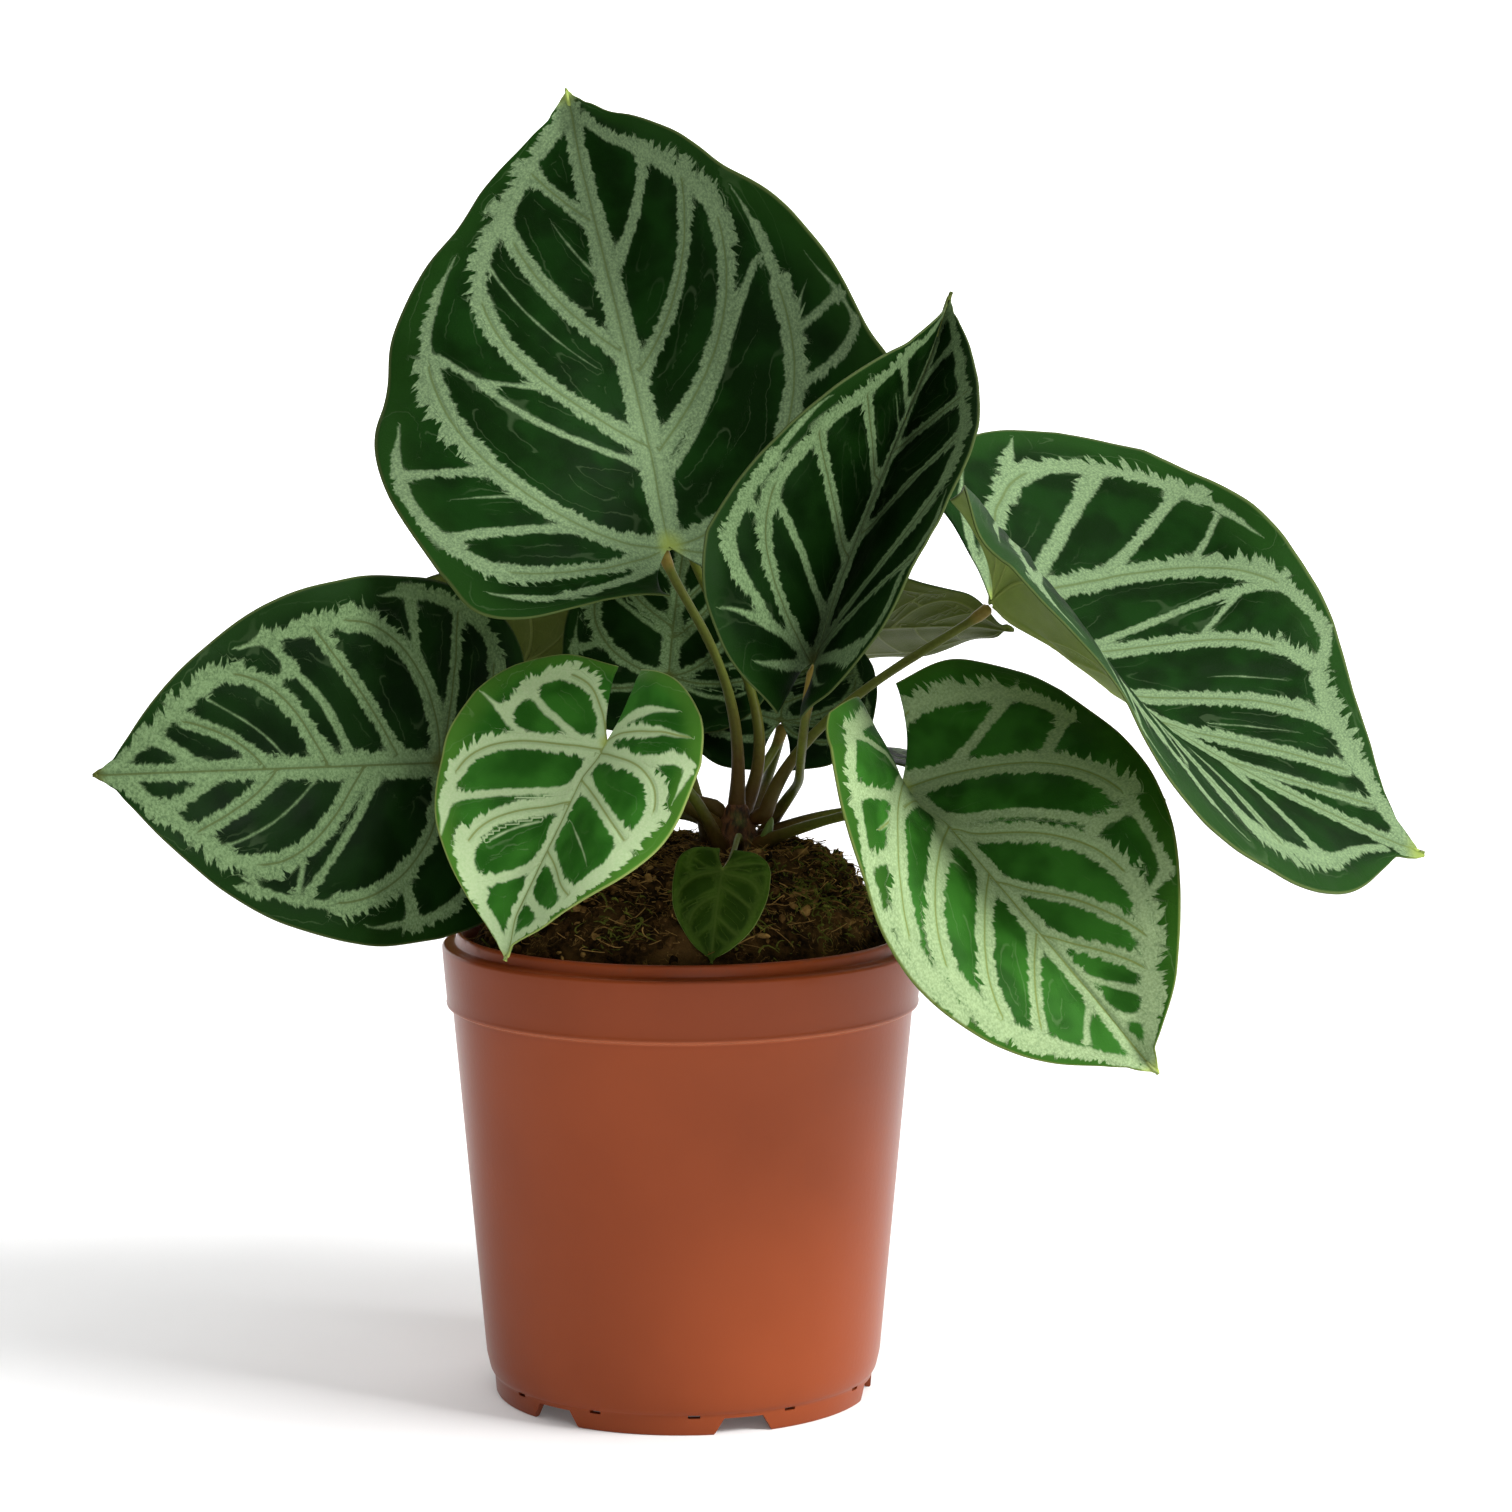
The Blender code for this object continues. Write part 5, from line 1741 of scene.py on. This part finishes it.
    @staticmethod
    def _strand(name: str, radii: Array, length: float, waves: Iterable[tuple[float, float, float]],
                finish: Material) -> Object:
        """A wavy thread.

        Args:
            name: its name.
            radii: radius at each of its points in mm.
            length: its length in mm.
            waves: size, turn and start of its bends sideways and upwards.
            finish: its material.

        Returns:
            The thread.
        """
        run = np.linspace(0, 1, len(radii))
        bends = [size * np.sin(turn * run + start) for size, turn, start in waves]
        return Workshop.tube(name, np.stack([length * (run - 0.5), *bends], axis=-1), radii, finish, 0)

    def _crumbs(self) -> Object:
        """Crumbs and bark chips.

        Returns:
            The finished piece.
        """
        finishes = [SOIL_FINISH.crumb("crumb_" + name, first, second) for name, first, second in (
            ("dark", SOIL_FINISH.dark, SOIL_FINISH.brown), ("brown", SOIL_FINISH.brown, SOIL_FINISH.tan),
            ("light", SOIL_FINISH.tan, SOIL_FINISH.straw))]
        patterns = [self._lump(f"crumb_{i}", 3.7 * i, finishes[kind])
                    for i, kind in enumerate((0, 1, 0, 1, 2, 0, 1))]
        places = []
        for spot in self._spots(self.crumbs):
            size = 0.55 + 0.95 * self.dice.random() ** 2.2
            places.append(self._turn(spot, 0.35 * size, size * self.dice.uniform(0.6, 1.35, 3)))
        for spot in self._spots(self.chips, 4.0):
            size = self.dice.uniform(1.0, 2.0)
            places.append(self._turn(spot, 0.4, (size * 1.5, size * 0.75, size * 0.32), 0.7))
        return self._scatter("soil_crumbs", patterns, places)

    def _fibres(self) -> Object:
        """Curly coir fibres that lie on the soil.

        Returns:
            The finished piece.
        """
        colours = (SOIL_FINISH.tan, SOIL_FINISH.straw, SOIL_FINISH.brown)
        patterns = [self._strand(f"fibre_{i}", 0.15 * np.linspace(1.1, 0.6, 9), 9.0,
                                 ((2.6, (0.9 + 0.5 * i) * 2.2, i), (1.1, 5.1, 2 * i)),
                                 SOIL_FINISH.crumb(f"fibre_{i % 3}", colours[i % 3], SOIL_FINISH.straw))
                    for i in range(6)]
        places = []
        for spot in self._spots(self.fibres, 5.0):
            size = self.dice.uniform(0.35, 1.15)
            places.append(self._turn(spot, 0.55, (size, size, size * 0.9), 0.35))
        return self._scatter("coir_fibres", patterns, places)

    def _moss(self) -> Object:
        """Olive strands of moss, most of them at the right and the front.

        Returns:
            The finished piece.
        """
        finish = SOIL_FINISH.crumb("moss_green", SOIL_FINISH.moss, SOIL_FINISH.moss_light)
        patterns = [self._strand(f"moss_{i}", 0.3 * np.linspace(1.15, 0.15, 6), 4.5,
                                 ((1.3, 3.6, i), (1.5, 2.7, 0.4 * i)), finish) for i in range(5)]
        places = []
        for angle, radius, spread, count in self.moss:
            turn = math.radians(angle)
            for _ in range(count):
                x, y = (radius * np.array([math.sin(turn), -math.cos(turn)]) + self.dice.normal(0, spread, 2))
                near = math.hypot(x - self.crown.x, y - self.crown.y) <= self.clear + 0.5
                if near or math.hypot(x, y) >= self.reach - 3:
                    continue
                size = self.dice.uniform(0.4, 1.0) * self.dice.uniform(0.7, 1.3, 3)
                places.append(self._turn(self._on_top(x, y), 0.25, size))
        return self._scatter("moss_tufts", patterns, places)


@dataclass(frozen=True)
class SoilFinish:
    """Browns of the coir and peat."""

    dark: Colour = (17, 11, 5)
    brown: Colour = (56, 39, 18)
    tan: Colour = (92, 68, 36)
    straw: Colour = (132, 104, 58)
    moss: Colour = (58, 62, 22)
    moss_light: Colour = (92, 96, 38)

    def peat(self) -> Material:
        """The plug's surface: brown crumbs, golden threads, and dark gaps whose dark is partly the peat's own
        colour and partly painted shade.

        Returns:
            The material.
        """
        looks = Looks("peat")
        where = looks.place()
        crumbs = looks.noise(where, 420.0, 5.0, 0.7)
        broad = looks.noise(where, 70.0, 3.0)
        swirl = looks.noise(where, 260.0, 2.0, 0.5, 1.5)
        threads = abs(swirl - 0.5).step(0.03, 0.0) * looks.noise(where, 180.0, 1.0).step(0.45, 0.6)
        # Dark where the bump is low: partly the peat's own colour, partly painted shade in the gaps between
        # crumbs.
        colour = looks.mix(crumbs.step(0.38, 0.66), self.dark, self.brown)
        colour = looks.mix(broad.step(0.48, 0.72) * 0.5, colour, self.tan)
        colour = looks.mix(threads * 0.55, colour, self.straw)
        return looks.surface(colour, crumbs, depth=0.0012, strength=1.0, rough=0.92, ior=1.1)

    def crumb(self, name: str, first: Colour, second: Colour) -> Material:
        """A mottled grain.

        Args:
            name: the material's name.
            first: its darker colour.
            second: its lighter colour.

        Returns:
            The material.
        """
        looks = Looks(name)
        where = looks.place()
        grain, broad = looks.noise(where, 900.0, 4.0, 0.65), looks.noise(where, 130.0, 2.0)
        colour = looks.mix((grain * 0.6 + broad * 0.4).step(0.38, 0.66), first, second)
        return looks.surface(colour, grain, depth=0.0005, strength=1.0, rough=0.88, ior=1.1)


SOIL_FINISH = SoilFinish()


@dataclass(frozen=True)
class FloorFinish:
    """White floor that glows more the farther it is from the pot; greys are linear."""

    paint: float = 0.84
    near: float = 0.08
    middle: float = 0.4
    far: float = 0.9

    def material(self) -> Material:
        """Matt white, with little glow around the pot so that shadows show.

        Returns:
            The material.
        """
        looks = Looks("white_floor")
        away = looks.place().length()
        glow = looks.mix(away.step(0.09, 0.45), self.near, self.middle)
        glow = looks.mix(away.step(0.5, 1.6), glow, self.far)
        return looks.finish({"Base Color": self.paint, "Roughness": 0.9, "Specular IOR Level": 0.1,
                             "Emission Color": glow, "Emission Strength": 1.0})


@dataclass
class Studio:
    """Plain white floor, soft light from the right and the camera; metres."""

    floor_size: float = 8.0
    camera: tuple[float, float, float] = (0.0183, -1.1, 0.2953)
    tilt: float = 83.0
    lens: float = 106.2
    sky: float = 0.15
    key: float = 44.0
    top: float = 7.0
    front: float = 5.5
    aim: tuple[float, float, float] = (0.0, 0.0, 0.15)
    seen_sky: float = 1.05

    def build(self) -> None:
        """Sets the floor, the sky, the lights and the camera."""
        self._floor()
        self._sky()
        self._light("key_light", (1.2, -0.53, 1.07), 0.7, self.key)
        self._light("top_light", (-0.35, -0.5, 1.6), 1.2, self.top)
        self._light("front_light", (0.35, -1.65, 0.8), 0.9, self.front)
        bpy.ops.object.camera_add(location=self.camera, rotation=(math.radians(self.tilt), 0, 0))
        camera = bpy.context.scene.camera = bpy.context.object
        camera.name = "front_camera"
        camera.data.lens = self.lens
        camera.data.sensor_width = 36
        bpy.context.scene.view_settings.view_transform = "Standard"

    def _floor(self) -> None:
        """White floor and backdrop."""
        plane = bpy.ops.mesh.primitive_plane_add
        floor = Workshop.start(plane, "floor", size=self.floor_size)
        floor.data.materials.append(FloorFinish().material())
        wall = Workshop.start(plane, "backdrop", size=self.floor_size, location=(0, 2.6, 3.9),
                              rotation=(math.pi / 2, 0, 0))
        wall.data.materials.append(Looks("white_backdrop").finish({
            "Base Color": 0.8, "Roughness": 1.0, "Emission Color": 1.0, "Emission Strength": 1.0}))

    def _sky(self) -> None:
        """White to the camera, softer as a light."""
        looks = Looks("white_sky", "worlds")
        seen = looks.node("ShaderNodeLightPath", {}, {}, out="Is Camera Ray")
        strength = seen * (self.seen_sky - self.sky) + self.sky
        bpy.context.scene.world = looks.finish({"Color": 1.0, "Strength": strength}, "Background")

    def _light(self, name: str, place: Sequence[float], size: float, power: float) -> None:
        """A square area light.

        Args:
            name: its name.
            place: where it stands.
            size: its side.
            power: its power in watts.
        """
        bpy.ops.object.light_add(type="AREA", location=place)
        light = bpy.context.object
        light.name = light.data.name = name
        light.rotation_euler = (Vector(self.aim) - Vector(place)).to_track_quat("-Z", "Y").to_euler()
        light.data.size = size
        light.data.energy = power


def main() -> None:
    """Builds the plant piece by piece, then the studio."""
    logging.basicConfig(level=logging.INFO, format="%(message)s", stream=sys.stdout)
    pot, crown = PotPiece(), CrownPiece()
    pot.build()
    crown.build()
    SoilPiece(pot=pot, crown=crown).build()
    for shape in LEAVES:
        LeafPiece(shape).build()
        PetiolePiece(shape, crown).build()
    Studio().build()


if __name__ == "__main__":
    main()
